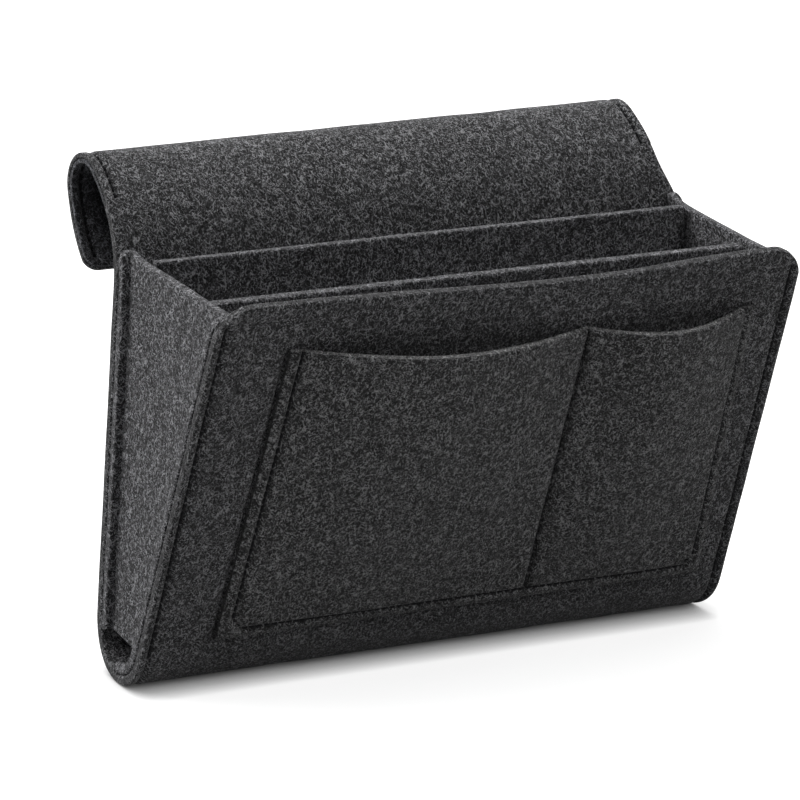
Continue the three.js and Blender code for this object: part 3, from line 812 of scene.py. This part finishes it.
def dress(tree, shader, base, bump, height):
    """Link a base colour and a bump to the shader"""
    tree.links.new(base, shader.inputs["Base Color"])
    raised = add_node(tree, "ShaderNodeBump", {**bump, "Height": height})
    tree.links.new(raised.outputs["Normal"], shader.inputs["Normal"])


def felt_materials(name, tint, edge_painted_light, groups):
    """The felt of a face and of its cut edges, each edge lighter or darker by a factor of painted light and
    shade
    """
    for number, lift in enumerate([1, *edge_painted_light]):
        cut = number > 0
        label = f"{name}_cut_edge_{number}" if cut else f"{name}_face"
        tree, shader = new_material(label, FELT_SURFACE)
        coordinates = add_node(tree, "ShaderNodeTexCoord")
        felt = add_node(tree, "ShaderNodeGroup", node_tree=groups["felt"])
        tree.links.new(coordinates.outputs["Object"], felt.inputs["Vector"])
        tone = remap(tree, felt.outputs["Tone"], *TONE_RANGE)
        base = blend_colours(tree, tone, scaled(tint, TONE_DARK * lift), scaled(tint, TONE_LIGHT * lift))
        # The pores are dips in the bump too, and their dark colour is painted shade
        pores = calculate(tree, "MULTIPLY", felt.outputs["Pores"], PORE_SHARE)
        base = blend_colours(tree, pores, base, scaled(tint, PORE_SHADE_TINT))
        base = blend_colours(tree, felt.outputs["Fibres"], base, scaled(tint, FIBRE_TINT * lift))
        height = felt.outputs["Height"]
        if cut:
            edge = add_node(tree, "ShaderNodeGroup", node_tree=groups["edge"])
            tree.links.new(coordinates.outputs["UV"], edge.inputs["Vector"])
            stripes = calculate(tree, "MULTIPLY", edge.outputs["Stripes"], STRIPE_SHARE)
            base = blend_colours(tree, stripes, base, scaled(tint, STRIPE_TINT * lift))
            height = calculate(tree, "ADD", height, edge.outputs["Stripes"])
        dress(tree, shader, base, FELT_BUMP, height)


def thread_material(tint):
    """The sewing thread, with the light and dark of its twist"""
    tree, shader = new_material("sewing_thread", THREAD_SURFACE)
    place = add_node(tree, "ShaderNodeTexCoord").outputs["Object"]
    twist = add_node(tree, "ShaderNodeTexNoise", {"Vector": place, **TWIST_NOISE}).outputs["Fac"]
    shade = remap(tree, twist, *TWIST_RANGE)
    base = blend_colours(tree, shade, scaled(tint, TWIST_DARK), scaled(tint, TWIST_LIGHT))
    dress(tree, shader, base, THREAD_BUMP, twist)


def finishes():
    """The materials, made once and then shared by all operators"""
    names = ("wrap", "inner", "lining", "pocket")
    if "sewing_thread" not in bpy.data.materials:
        finish = bpy.context.scene.caddy_finish
        groups = {"felt": felt_group(), "edge": edge_group()}
        for name in names:
            felt_materials(f"{name}_felt", getattr(finish, name), EDGE_PAINTED_LIGHT[name], groups)
        thread_material(finish.thread)
    made = {"thread": [bpy.data.materials["sewing_thread"]]}
    for name in names:
        words = ["face", *(f"cut_edge_{number + 1}" for number in range(len(EDGE_PAINTED_LIGHT[name])))]
        made[name] = [bpy.data.materials[f"{name}_felt_{word}"] for word in words]
    return made


# Felt pieces

FACE_STEP = 4 * MM
BEND_STEP = 1.6 * MM
PLY_LINE_DEPTH = 0.6 * MM
OUTSIDE, INSIDE = 0, 1
# How fine the grid is under the panel's edge, and how far on each side
DENT_STEP, DENT_MARGIN = 0.8 * MM, 3 * MM
# How far into the felt the grid follows the round corners, in radii of the corners
CORNER_REACH = 4
# Corners of the groove where it moves from the lip's row to the flap's
TURN_COUNT = 6


def merged(*lists):
    """All places in order, without those that lie too close to the one before"""
    places = np.unique(np.concatenate(lists))
    return places[np.append(True, np.diff(places) > LEAST_STEP)]


def near(ends):
    """Close places round the panel's edge, which runs between two ends"""
    return np.arange(min(ends) - DENT_MARGIN, max(ends) + DENT_MARGIN, DENT_STEP)


def make_wrap(form):
    """The front wall, the round bottom, the back wall and the lower riser, in one felt"""
    s = form.sizes
    width, length = s.width, form.join
    across = stations(width, FACE_STEP, marks=[s.seam_inset, width - s.seam_inset])
    panel = panel_outline(form, Pockets(form))
    places, depths = np.array(panel).T
    across = merged(across, *(near(ends) + form.half for ends in (places[:2], places[2:])))
    bends = [(form.line.starts[1], form.wall_start), (form.riser_start, length)]
    down = merged(
        stations(length, FACE_STEP, rounded=(True, False)),
        near(depths[1:2]),
        *(np.arange(*bend, BEND_STEP) for bend in bends),
    )
    x = (across - form.half)[None, :]
    rim = form.rim(x)
    fade = np.clip(1 - down / (CORNER_REACH * s.rim_corner_radius), 0, 1)[:, None]
    along = down[:, None] + rim * fade
    x = x - form.end_shift(x, along)
    extra = form.joining(along) * (form.thick - s.felt)
    inset = nearest_edge(insets(down, (True, False)), insets(across))
    rows = []
    for side in (-1, 1):
        rows.append([(form.lip_row(side), s.seam_start), (form.lip_row(side), form.gusset_top)])
        turns = np.linspace(form.gusset_top, length, TURN_COUNT)
        rows.append([(form.back_row(side, turn), turn) for turn in turns])
    pulled = groove(x, along, rows)
    dent = groove(x, along, [panel], PANEL_DENT)
    lifts = (waves(x, along, OUTSIDE) + pulled + dent, waves(x, along, INSIDE))
    split = smooth((along - form.gusset_top) / s.lip) * PLY_LINE_DEPTH
    middle = form.points(x, along)
    piece = felt_solid("wrap_felt", middle, s.felt + extra, inset, lifts, finishes()["wrap"], split)
    bend_at_back(piece, form)
    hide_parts("wrap")


# Columns of a gusset's grid between its bends and in each bend, and samples for finding its foot
GUSSET_COLUMNS = 26
BEND_COLUMNS = 7
LINE_SAMPLES = 4000
# How steeply the front flange's tail ends towards the gusset
TAIL_SLOPE = 1.5


def make_gusset(form, side, word):
    """An end wall whose front and back edges turn outward against the wrap"""
    s = form.sizes
    bend = s.gusset_bend_radius
    left = s.felt + s.clear
    samples = np.linspace(0, form.gusset_top, LINE_SAMPLES)
    y, z = form.line.beside(samples, left)
    depth = (form.back_y - y) / (2 * s.bottom_radius)
    foot = s.gusset_foot_back + (s.gusset_foot_front - s.gusset_foot_back) * np.minimum(depth, 1)
    low = samples[z < form.floor_z + foot]
    front_foot, back_foot = low[0], low[-1]
    flanges = [lip + s.felt / 2 - bend for lip in (s.lip, s.back_lip)]
    turns = np.linspace(0, math.pi / 2, BEND_COLUMNS + 1)[1:-1]
    drop = stations(front_foot, FACE_STEP)
    part = drop / drop[-1]
    front_top = s.gusset_front_drop / math.cos(form.slope)

    def at_front(offset):
        x = side * (form.half - offset)
        top = np.maximum(form.rim(x), front_top)
        end = front_foot + s.flange_tail * smooth(TAIL_SLOPE * (1 - offset / flanges[0]))
        return form.points(x, top + part * (end - top), left)

    def at_back(offset):
        top = form.gusset_top - s.back_lip * max(1 - offset / flanges[1], 0) ** 2
        return form.points(side * (form.half - offset), top + part * (back_foot - top), left)

    def in_bend(at, flange, turn, forward):
        """A column of the bend between a flange and the end wall"""
        column = at(flange + bend * math.sin(turn)) + forward * bend * (1 - math.cos(turn))
        return flange + bend * turn, column

    def on_flange(at, flange):
        offsets = stations(flange, FACE_STEP, marks=[s.seam_inset], rounded=(True, False))
        return [(offset, at(offset)) for offset in offsets]

    front, back = at_front(flanges[0] + bend), at_back(flanges[1] + bend)
    ahead = unit(back - front)
    bow = side * s.gusset_bow * hump(part) ** 0.5
    fade = np.clip(1 - part / DIP_SHARE, 0, 1)
    columns = on_flange(at_front, flanges[0])
    columns += [in_bend(at_front, flanges[0], turn, ahead) for turn in turns]
    for place in np.linspace(0, 1, GUSSET_COLUMNS):
        column = front + ahead * bend + (back - front - 2 * ahead * bend) * place
        column[:, 0] -= bow * hump(place)
        column[:, 2] -= s.gusset_dip * fade * place * (1 - math.exp((place - 1) / DIP_SHARE))
        columns.append((FAR, column))
    columns += [in_bend(at_back, flanges[1], turn, -ahead) for turn in turns[::-1]]
    columns += on_flange(at_back, flanges[1])[::-1]
    places = np.array([place for place, _ in columns])
    middle = np.stack([column for _, column in columns], axis=1)
    inset = nearest_edge(insets(drop), places)
    x, along = middle[..., 1], middle[..., 2]
    started = smooth((drop[:, None] - s.seam_start) / s.seam_inset + 1)
    pulled = -GROOVE[0] * np.exp(-(((places - s.seam_inset) / GROOVE[1]) ** 2))[None, :] * started
    face, other = waves(x, along, OUTSIDE), waves(x, along, INSIDE)
    lifts = (face + pulled, other) if side < 0 else (face, other + pulled)
    piece = felt_solid(f"{word}_gusset_felt", middle, s.felt, inset, lifts, finishes()["inner"])
    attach(piece, "box")
    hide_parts(f"{word}_gusset")


def make_divider(form, word, depth, foot_depth, drop):
    """A flat sheet between the gussets, down to the round bottom"""
    s = form.sizes
    low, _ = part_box(f"{word}_divider")
    top = form.floor_z + s.rim_height - drop
    foot = low.z + s.clear
    down = stations(top - foot, FACE_STEP)
    height = top - down[:, None]
    share_down = (top - height) / (top - form.floor_z)
    forward = depth - (depth - foot_depth) * share_down
    front_share = np.minimum(forward / form.wall_depth(height - form.floor_z), 1)
    end = form.half - s.back_lip - (s.lip - s.back_lip) * front_share - s.felt - s.clear - s.gusset_bow
    end += s.flare * share_down * front_share
    widest = float(end.max())
    across = stations(2 * widest, FACE_STEP)
    x = (across / widest - 1)[None, :] * end
    x = x - form.lean(x, height - form.floor_z, 1 - front_share)
    y = form.back_y - forward
    middle = np.stack(np.broadcast_arrays(x, y, height), axis=-1)
    inset = nearest_edge(insets(down), insets(across))
    lifts = (waves(x, height, OUTSIDE), waves(x, height, INSIDE))
    piece = felt_solid(f"{word}_divider_felt", middle, s.felt, inset, lifts, finishes()["inner"])
    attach(piece, "box")
    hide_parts(f"{word}_divider")


POCKET_STEP = 3 * MM


class Pockets:
    """The two pockets of the panel: places across and down, and how far they stand off the front wall"""

    def __init__(self, form):
        s = form.sizes
        self.form = form
        self.separator = s.pocket_separator - form.half
        self.mouths = [s.mouth_left, s.mouth_separator, s.mouth_right]
        self.sags = [s.left_mouth_sag, s.right_mouth_sag]
        self.bulges = [s.left_bulge, s.right_bulge]

    def left(self, down_share):
        s = self.form.sizes
        return s.pocket_left_top + (s.pocket_left_foot - s.pocket_left_top) * down_share - self.form.half

    def right(self, down_share):
        s = self.form.sizes
        return self.form.half - s.pocket_right_top - (s.pocket_right_foot - s.pocket_right_top) * down_share

    def ends(self, number, down_share):
        inset = self.form.sizes.pocket_seam_inset
        middle = self.separator + 0 * down_share
        if number == 0:
            return self.left(down_share) + inset, middle
        return middle, self.right(down_share) - inset

    def surface(self, number, across_share, down_share):
        """Places down the slope and lifts off the wall"""
        one, other = self.mouths[number], self.mouths[number + 1]
        mouth = one + (other - one) * np.clip(across_share, 0, 1) + self.sags[number] * hump(across_share)
        down = mouth + (self.form.seam_foot - mouth) * down_share
        lift = self.bulges[number] * hump(across_share) * np.cos(math.pi / 2 * np.minimum(down_share, 1))
        return down, lift


def make_pocket_panel(form):
    """The panel with its two pockets, sewn round its sides and foot and between the pockets"""
    s = form.sizes
    pockets = Pockets(form)
    inset = s.pocket_seam_inset
    tall = form.seam_foot - s.mouth_left
    down = stations(tall + inset, POCKET_STEP, marks=[tall])
    share_down = down / tall

    def column(number, across_share, x):
        slope, lift = pockets.surface(number, across_share, np.minimum(share_down, 1))
        return np.stack(np.broadcast_arrays(x, slope + np.maximum(down - tall, 0), lift), axis=-1)

    outer = stations(inset, POCKET_STEP, marks=[inset], rounded=(True, False))[:-1]
    columns = [(offset, column(0, 0, pockets.left(share_down) + offset)) for offset in outer]
    for number in (0, 1):
        one, other = pockets.ends(number, share_down)
        width = float(other[0] - one[0])
        across = stations(width, POCKET_STEP, marks=[0, width], rounded=(False, False))
        for place in across[number:]:
            columns.append((FAR, column(number, place / width, one + (other - one) * place / width)))
    columns += [(offset, column(1, 1, pockets.right(share_down) - offset)) for offset in outer[::-1]]
    places = np.array([place for place, _ in columns])
    grid = np.stack([column for _, column in columns], axis=1)
    x, slope, lift = grid[..., 0], grid[..., 1], grid[..., 2]
    from_sewn = nearest_edge(insets(down, (False, True)), places)
    thickness = s.felt - s.edge_press * smooth(1 - from_sewn / s.pocket_seam_inset)
    middle = form.front(x, slope, s.clear + thickness / 2 + lift)
    edge = nearest_edge(insets(down), places)
    border = groove(x, slope, [border_path(form, pockets)])
    separator = groove(x, slope, [separator_path(form, pockets)], SEPARATOR_GROOVE)
    lifts = (waves(x, slope, OUTSIDE) + np.minimum(border, separator), waves(x, slope, INSIDE))
    # The mouths take the panel's second cut edge, with painted light on their tops; the sides and foot take
    # the first, with painted shadow along the panel's edge
    piece = felt_solid("pocket_felt", middle, thickness, edge, lifts, finishes()["pocket"], first_edge=2)
    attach(piece, "box")
    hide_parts("pocket_panel")
    flat = (float(run_along(middle[0])[-1]), form.foot - s.mouth_left)


def panel_outline(form, pockets):
    """Corners of the panel's sides and foot, across and down the slope"""
    s = form.sizes
    foot = form.seam_foot + s.pocket_seam_inset
    return [
        (pockets.left(0), s.mouth_left),
        (pockets.left(1), foot),
        (pockets.right(1), foot),
        (pockets.right(0), s.mouth_right),
    ]


def border_path(form, pockets):
    """Corners of the stitches round the panel, across and down the slope"""
    s = form.sizes
    corner = s.pocket_seam_inset
    left_top, _ = pockets.ends(0, 0)
    left_foot, _ = pockets.ends(0, 1)
    _, right_top = pockets.ends(1, 0)
    _, right_foot = pockets.ends(1, 1)
    return [
        (left_top, s.mouth_left),
        (left_foot, form.seam_foot - corner),
        (left_foot + corner, form.seam_foot),
        (right_foot - corner, form.seam_foot),
        (right_foot, form.seam_foot - corner),
        (right_top, s.mouth_right),
    ]


def separator_path(form, pockets):
    return [(pockets.separator, form.sizes.mouth_separator), (pockets.separator, form.seam_foot)]


# Each ply of the flap: its name, its side of the middle line, its finish and its slot
# The lining ply takes the lining finish: the inner felt painted darker, as shade
FLAP_PLIES = [("outer", 1, "wrap", "wrap_felt"), ("lining", -1, "lining", "inner_felt")]


def make_flap(form):
    """The two plies of the flap, over the crown and down the leaf"""
    s = form.sizes
    start, length = form.join, form.line.length
    width = s.width - s.flap_right_inset
    across = stations(width, FACE_STEP, marks=[s.flap_seam_inset, width - s.flap_seam_inset])
    down = stations(length - start, BEND_STEP, rounded=(False, True))
    x = (across - form.half)[None, :]
    end_inset = np.minimum(across, width - across)[None, :]
    radius = s.leaf_corner_radius
    reach = CORNER_REACH * radius
    fade = np.clip((down - down[-1] + reach) / reach, 0, 1)[:, None]
    along = start + down[:, None] - corner_cut(end_inset, radius) * fade
    inset = nearest_edge(insets(down, (False, True)), insets(across))
    row_end = length - s.flap_seam_inset
    rows = [[(form.flap_row(side), start), (form.flap_row(side), row_end)] for side in (-1, 1)]
    pulled = groove(x, along, rows)
    for word, side, finish, slot in FLAP_PLIES:
        middle = form.points(x, along, side * (s.clear + s.ply) / 2)
        shown = waves(x, along, INSIDE if side > 0 else OUTSIDE) + pulled
        hidden = np.zeros_like(shown)
        lifts = (hidden, shown) if side > 0 else (shown, hidden)
        piece = felt_solid(f"flap_{word}_felt", middle, s.ply, inset, lifts, finishes()[finish])
        bend_at_leaf(piece, form)
        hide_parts(f"flap_{word}_ply", f"leaf_{word}_ply")
        tall = float(run_along(middle[:, middle.shape[1] // 2])[-1])


# Stitches

STITCH_RINGS = 7
STITCH_SIDES = 8
# How much of its section a stitch keeps at its ends
STITCH_END = 0.02
# Points along the rows: front lip, back lip, riser outside and inside, flap, and panel
FRONT_POINTS, BACK_POINTS, RISER_POINTS, ABOVE_POINTS, FLAP_POINTS, PANEL_POINTS = 60, 80, 40, 30, 120, 400


def resample(points, normals, pitch, length):
    """Ring centres and directions of the stitches along a path"""
    run = run_along(points)
    count = max(1, round(run[-1] / pitch))
    starts = (np.arange(count) + 0.5) * run[-1] / count
    at = starts[:, None] + np.linspace(-length / 2, length / 2, STITCH_RINGS)[None, :]
    at = np.clip(at, 0, run[-1])

    def read(values):
        return np.stack([np.interp(at, run, values[:, axis]) for axis in range(3)], axis=-1)

    return read(points), unit(read(normals))


def make_stitches(name, paths, sunk=0):
    """One row of stitches, sunk further in if its groove is deeper. A path has points on the felt's face
    and their directions out of it."""
    size = bpy.context.scene.caddy_stitches
    vertices, faces = [], []
    bend = np.linspace(-1, 1, STITCH_RINGS)
    depth = size.depth + sunk + size.dip * bend**4
    girth = size.radius * np.sqrt(1 + STITCH_END - bend**4)
    turns = np.arange(STITCH_SIDES) * 2 * math.pi / STITCH_SIDES
    for points, normals in paths:
        centres, outs = resample(points, normals, size.pitch, size.length)
        tangents = unit(np.gradient(centres, axis=1))
        sides = unit(np.cross(tangents, outs))
        centres = centres - outs * depth[None, :, None]
        for centre, out, beside in zip(centres, outs, sides):
            ring = (
                centre[:, None]
                + beside[:, None] * (girth[:, None] * np.cos(turns))[..., None]
                + out[:, None] * (girth[:, None] * np.sin(turns))[..., None]
            )
            first = len(vertices) * STITCH_RINGS * STITCH_SIDES
            vertices.append(ring.reshape(-1, 3))
            for level in range(STITCH_RINGS - 1):
                for turn in range(STITCH_SIDES):
                    a = first + level * STITCH_SIDES + turn
                    b = first + level * STITCH_SIDES + (turn + 1) % STITCH_SIDES
                    faces.append((a, a + STITCH_SIDES, b + STITCH_SIDES, b))
            last = first + (STITCH_RINGS - 1) * STITCH_SIDES
            faces.append(tuple(first + turn for turn in range(STITCH_SIDES)))
            faces.append(tuple(last + turn for turn in reversed(range(STITCH_SIDES))))
    piece = new_object(name, np.concatenate(vertices), faces, finishes()["thread"])
    return piece


def make_lip_stitches(form, side, word):
    """The rows through the front lip and the back lip, and on up the riser"""
    s = form.sizes
    x = form.lip_row(side)
    down = np.linspace(s.seam_start, form.slope_length, FRONT_POINTS)
    inner = s.felt / 2 + s.clear + s.felt
    out = form.line.left_side(down)
    for where, left in (("outside", -s.felt / 2), ("inside", inner)):
        points = form.points(x, down, left)
        piece = make_stitches(f"{word}_front_seam_{where}_stitches", [(points, out * np.sign(left))])
        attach(piece, "box")
        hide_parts(f"{word}_front_seam_{where}")
    top = form.gusset_top - s.seam_start
    lower = np.linspace(form.wall_start, top, BACK_POINTS)
    whole = np.concatenate([lower, np.linspace(top, form.join, RISER_POINTS)[1:]])
    outside = form.points(form.back_row(side, whole), whole, -s.felt / 2)
    piece = make_stitches(f"{word}_back_seam_outside_stitches", [(outside, -form.line.left_side(whole))])
    bend_at_back(piece, form)
    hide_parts(f"{word}_back_seam_outside")
    above = np.linspace(form.gusset_top + s.felt / 2, form.join, ABOVE_POINTS)
    paths = [
        (form.points(x, lower, inner), form.line.left_side(lower)),
        (form.points(form.back_row(side, above), above, s.felt / 2), form.line.left_side(above)),
    ]
    piece = make_stitches(f"{word}_back_seam_inside_stitches", paths)
    bend_at_back(piece, form)
    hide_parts(f"{word}_back_seam_inside")


def make_flap_stitches(form, side, word):
    """The rows near an end of the flap, over the crown and down the leaf"""
    s = form.sizes
    along = np.linspace(form.join, form.line.length - s.flap_seam_inset, FLAP_POINTS)
    for where, face in (("outside", 1), ("inside", -1)):
        points = form.points(form.flap_row(side), along, face * form.thick / 2)
        path = (points, face * form.line.left_side(along))
        piece = make_stitches(f"{word}_flap_row_{where}_stitches", [path])
        bend_at_leaf(piece, form)
        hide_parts(f"{word}_flap_row_{where}", f"{word}_leaf_row_{where}")


def make_pocket_stitches(form):
    """The rows round the panel and between the pockets, outside and inside"""
    s = form.sizes
    pockets = Pockets(form)
    out = np.array([0, -math.cos(form.slope), -math.sin(form.slope)])
    for label, find_path in (("border", border_path), ("separator", separator_path)):
        corners = np.array(find_path(form, pockets))
        run = run_along(corners)
        fine = np.linspace(0, run[-1], PANEL_POINTS)
        x, down = (np.interp(fine, run, values) for values in corners.T)
        for where, lift, face in (("outside", s.clear + s.felt, 1), ("inside", -s.felt, -1)):
            points = form.front(x, down, lift)
            normals = np.broadcast_to(out * face, points.shape)
            sunk = SEPARATOR_GROOVE[0] - GROOVE[0] if (label, where) == ("separator", "outside") else 0
            piece = make_stitches(f"pocket_{label}_{where}_stitches", [(points, normals)], sunk)
            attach(piece, "box")
            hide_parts(f"pocket_{label}_{where}")


# The stage

def area_light(name, place, target, size, power):
    """A square light that faces a target"""
    data = bpy.data.lights.new(name, "AREA")
    data.size = size
    data.energy = power
    light = add_object(name, data)
    light.location = place
    light.rotation_euler = (Vector(target) - Vector(place)).to_track_quat("-Z", "Y").to_euler()


# The sensor's width in millimetres, and how far the camera sees in metres
SENSOR_WIDTH = 36
VIEW_END = 20


def make_camera(stage, target):
    """The camera, at the photograph's angle"""
    yaw, up, roll = stage.azimuth, stage.elevation, stage.roll
    forward = Vector((math.sin(yaw) * math.cos(up), math.cos(yaw) * math.cos(up), -math.sin(up)))
    right = Vector((math.cos(yaw), -math.sin(yaw), 0))
    below = forward.cross(right)
    turned_right = right * math.cos(roll) + below * math.sin(roll)
    turned_below = below * math.cos(roll) - right * math.sin(roll)
    data = bpy.data.cameras.new("camera")
    data.lens = stage.lens
    data.sensor_width = SENSOR_WIDTH
    data.clip_end = VIEW_END
    camera = add_object("camera", data)
    middle = target - turned_right * stage.shift_right - turned_below * stage.shift_down
    place = middle - forward * stage.distance
    axes = Matrix((turned_right, -turned_below, -forward)).transposed()
    camera.matrix_world = Matrix.Translation(place) @ axes.to_4x4()
    bpy.context.scene.camera = camera


# The camera's target: across, forward of the back wall and up from the floor
CAMERA_TARGET = (0, 30 * MM, 90 * MM)
# Half the floor's width in metres, and how far it lies below the caddy
FLOOR_REACH, FLOOR_GAP = 6.0, 0.2 * MM
# The floor's own brightness, and its grey for the camera and for the light it sends back
FLOOR_GLOW = 0.83
FLOOR_SEEN, FLOOR_BOUNCE = 0.6, 0.4
# The painted contact shadow under the caddy: how far it reaches, and the rays it is measured with
FLOOR_PAINTED_SHADOW_REACH, FLOOR_PAINTED_SHADOW_RAYS = 12 * MM, 8
FLOOR_SURFACE = {"Roughness": 0.9, "Specular IOR Level": 0, "Emission Color": (1, 1, 1, 1)}


def seen_directly(tree):
    """1 for what the camera sees, straight or in a gloss or through glass"""
    rays = add_node(tree, "ShaderNodeLightPath")
    seen = calculate(tree, "MAXIMUM", rays.outputs["Is Camera Ray"], rays.outputs["Is Glossy Ray"])
    return calculate(tree, "MAXIMUM", seen, rays.outputs["Is Transmission Ray"])


def make_floor(form):
    """A wide white floor that keeps the shadow and the white behind it; a contact shadow under the caddy is
    painted into its glow
    """
    mesh = bpy.data.meshes.new("floor")
    level = form.floor_z - FLOOR_GAP
    corners = [(x * FLOOR_REACH, y * FLOOR_REACH, level) for x, y in ((-1, -1), (1, -1), (1, 1), (-1, 1))]
    mesh.from_pydata(corners, [], [(0, 1, 2, 3)])
    floor = add_object("floor", mesh)
    tree, shader = new_material("white_floor", FLOOR_SURFACE)
    seen = seen_directly(tree)
    grey = calculate(tree, "MULTIPLY_ADD", seen, FLOOR_SEEN - FLOOR_BOUNCE, FLOOR_BOUNCE)
    tree.links.new(grey, shader.inputs["Base Color"])
    # Ambient occlusion dims the floor's glow: a contact shadow painted under the caddy
    reach = {"Distance": FLOOR_PAINTED_SHADOW_REACH}
    painted_shadow_level = add_node(tree, "ShaderNodeAmbientOcclusion", reach, samples=FLOOR_PAINTED_SHADOW_RAYS).outputs["AO"]
    glow = calculate(tree, "MULTIPLY", calculate(tree, "MULTIPLY", seen, painted_shadow_level), FLOOR_GLOW)
    tree.links.new(glow, shader.inputs["Emission Strength"])
    mesh.materials.append(bpy.data.materials["white_floor"])


def make_world(strength):
    world = bpy.data.worlds.new("studio")
    bpy.context.scene.world = world
    world.use_nodes = True
    tree = world.node_tree
    background = tree.nodes["Background"]
    background.inputs["Color"].default_value = (1, 1, 1, 1)
    level = calculate(tree, "MULTIPLY_ADD", seen_directly(tree), 1 - strength, strength)
    tree.links.new(level, background.inputs["Strength"])


# Place and size of each light, in metres
LIGHTS = {
    "key": ((-1.55, 0.8, 0.8), 1.1),
    "top": ((-0.2, 0.5, 1.9), 2.4),
    "fill": ((0.65, -1.6, 1.2), 0.8),
}


def make_stage(form):
    stage = bpy.context.scene.caddy_stage
    s = form.sizes
    target = Vector((CAMERA_TARGET[0], form.back_y - CAMERA_TARGET[1], form.floor_z + CAMERA_TARGET[2]))
    make_camera(stage, target)
    make_floor(form)
    make_world(stage.sky)
    middle = (0, form.back_y - s.rim_depth / 2, form.floor_z + s.rim_height / 2)
    for name, (place, size) in LIGHTS.items():
        area_light(f"{name}_light", place, middle, size, getattr(stage, f"{name}_power"))
    bpy.context.scene.view_settings.view_transform = "Standard"


# Operators, panel and registration

class CADDY_OT_wrap(bpy.types.Operator):
    """Make the wrap: front wall, round bottom, back wall and riser in one felt"""

    bl_idname = "caddy.wrap"
    bl_label = "Wrap"

    def execute(self, context):
        make_wrap(current_form())
        return {"FINISHED"}


class CADDY_OT_gussets(bpy.types.Operator):
    """Make the two gussets that close the box's ends"""

    bl_idname = "caddy.gussets"
    bl_label = "Gussets"

    def execute(self, context):
        form = current_form()
        for side, word in ((-1, "left"), (1, "right")):
            make_gusset(form, side, word)
        return {"FINISHED"}


class CADDY_OT_dividers(bpy.types.Operator):
    """Make the two dividers between the gussets"""

    bl_idname = "caddy.dividers"
    bl_label = "Dividers"

    def execute(self, context):
        form = current_form()
        s = form.sizes
        make_divider(form, "rear", s.rear_divider_depth, s.rear_divider_depth, s.rear_divider_drop)
        make_divider(form, "front", s.front_divider_depth, s.front_divider_foot, s.front_divider_drop)
        return {"FINISHED"}


class CADDY_OT_pocket_panel(bpy.types.Operator):
    """Make the front panel with its two pockets"""

    bl_idname = "caddy.pocket_panel"
    bl_label = "Pocket panel"

    def execute(self, context):
        make_pocket_panel(current_form())
        return {"FINISHED"}


class CADDY_OT_flap(bpy.types.Operator):
    """Make the flap's two plies, over the crown and down the leaf"""

    bl_idname = "caddy.flap"
    bl_label = "Flap"

    def execute(self, context):
        make_flap(current_form())
        return {"FINISHED"}


class CADDY_OT_stitching(bpy.types.Operator):
    """Make all rows of stitches"""

    bl_idname = "caddy.stitching"
    bl_label = "Stitching"

    def execute(self, context):
        form = current_form()
        for side, word in ((-1, "left"), (1, "right")):
            make_lip_stitches(form, side, word)
            make_flap_stitches(form, side, word)
        make_pocket_stitches(form)
        return {"FINISHED"}


class CADDY_OT_stage(bpy.types.Operator):
    """Make the floor, the lights and the camera"""

    bl_idname = "caddy.stage"
    bl_label = "Stage"

    def execute(self, context):
        make_stage(current_form())
        return {"FINISHED"}


OPERATORS = [
    CADDY_OT_wrap,
    CADDY_OT_gussets,
    CADDY_OT_dividers,
    CADDY_OT_pocket_panel,
    CADDY_OT_flap,
    CADDY_OT_stitching,
    CADDY_OT_stage,
]


class CADDY_PT_panel(bpy.types.Panel):
    """The caddy's sizes, colours and operators"""

    bl_idname = "CADDY_PT_panel"
    bl_label = "Caddy"
    bl_space_type = "VIEW_3D"
    bl_region_type = "UI"
    bl_category = "Caddy"

    def draw(self, context):
        layout = self.layout
        for operator in OPERATORS:
            layout.operator(operator.bl_idname)
        for label, group in GROUPS.items():
            settings = getattr(context.scene, label)
            box = layout.box()
            for name in group.__annotations__:
                box.prop(settings, name)


GROUPS = {
    "caddy_sizes": CaddySizes,
    "caddy_stitches": CaddyStitches,
    "caddy_finish": CaddyFinish,
    "caddy_stage": CaddyStage,
}


def register():
    for kind in (*GROUPS.values(), *OPERATORS, CADDY_PT_panel):
        bpy.utils.register_class(kind)
    for label, group in GROUPS.items():
        setattr(bpy.types.Scene, label, PointerProperty(type=group))


def unregister():
    for label in GROUPS:
        delattr(bpy.types.Scene, label)
    for kind in (CADDY_PT_panel, *reversed(OPERATORS), *GROUPS.values()):
        bpy.utils.unregister_class(kind)


def main():
    register()
    bpy.ops.caddy.wrap()
    bpy.ops.caddy.gussets()
    bpy.ops.caddy.dividers()
    bpy.ops.caddy.pocket_panel()
    bpy.ops.caddy.flap()
    bpy.ops.caddy.stitching()
    bpy.ops.caddy.stage()


if __name__ == "__main__":
    main()
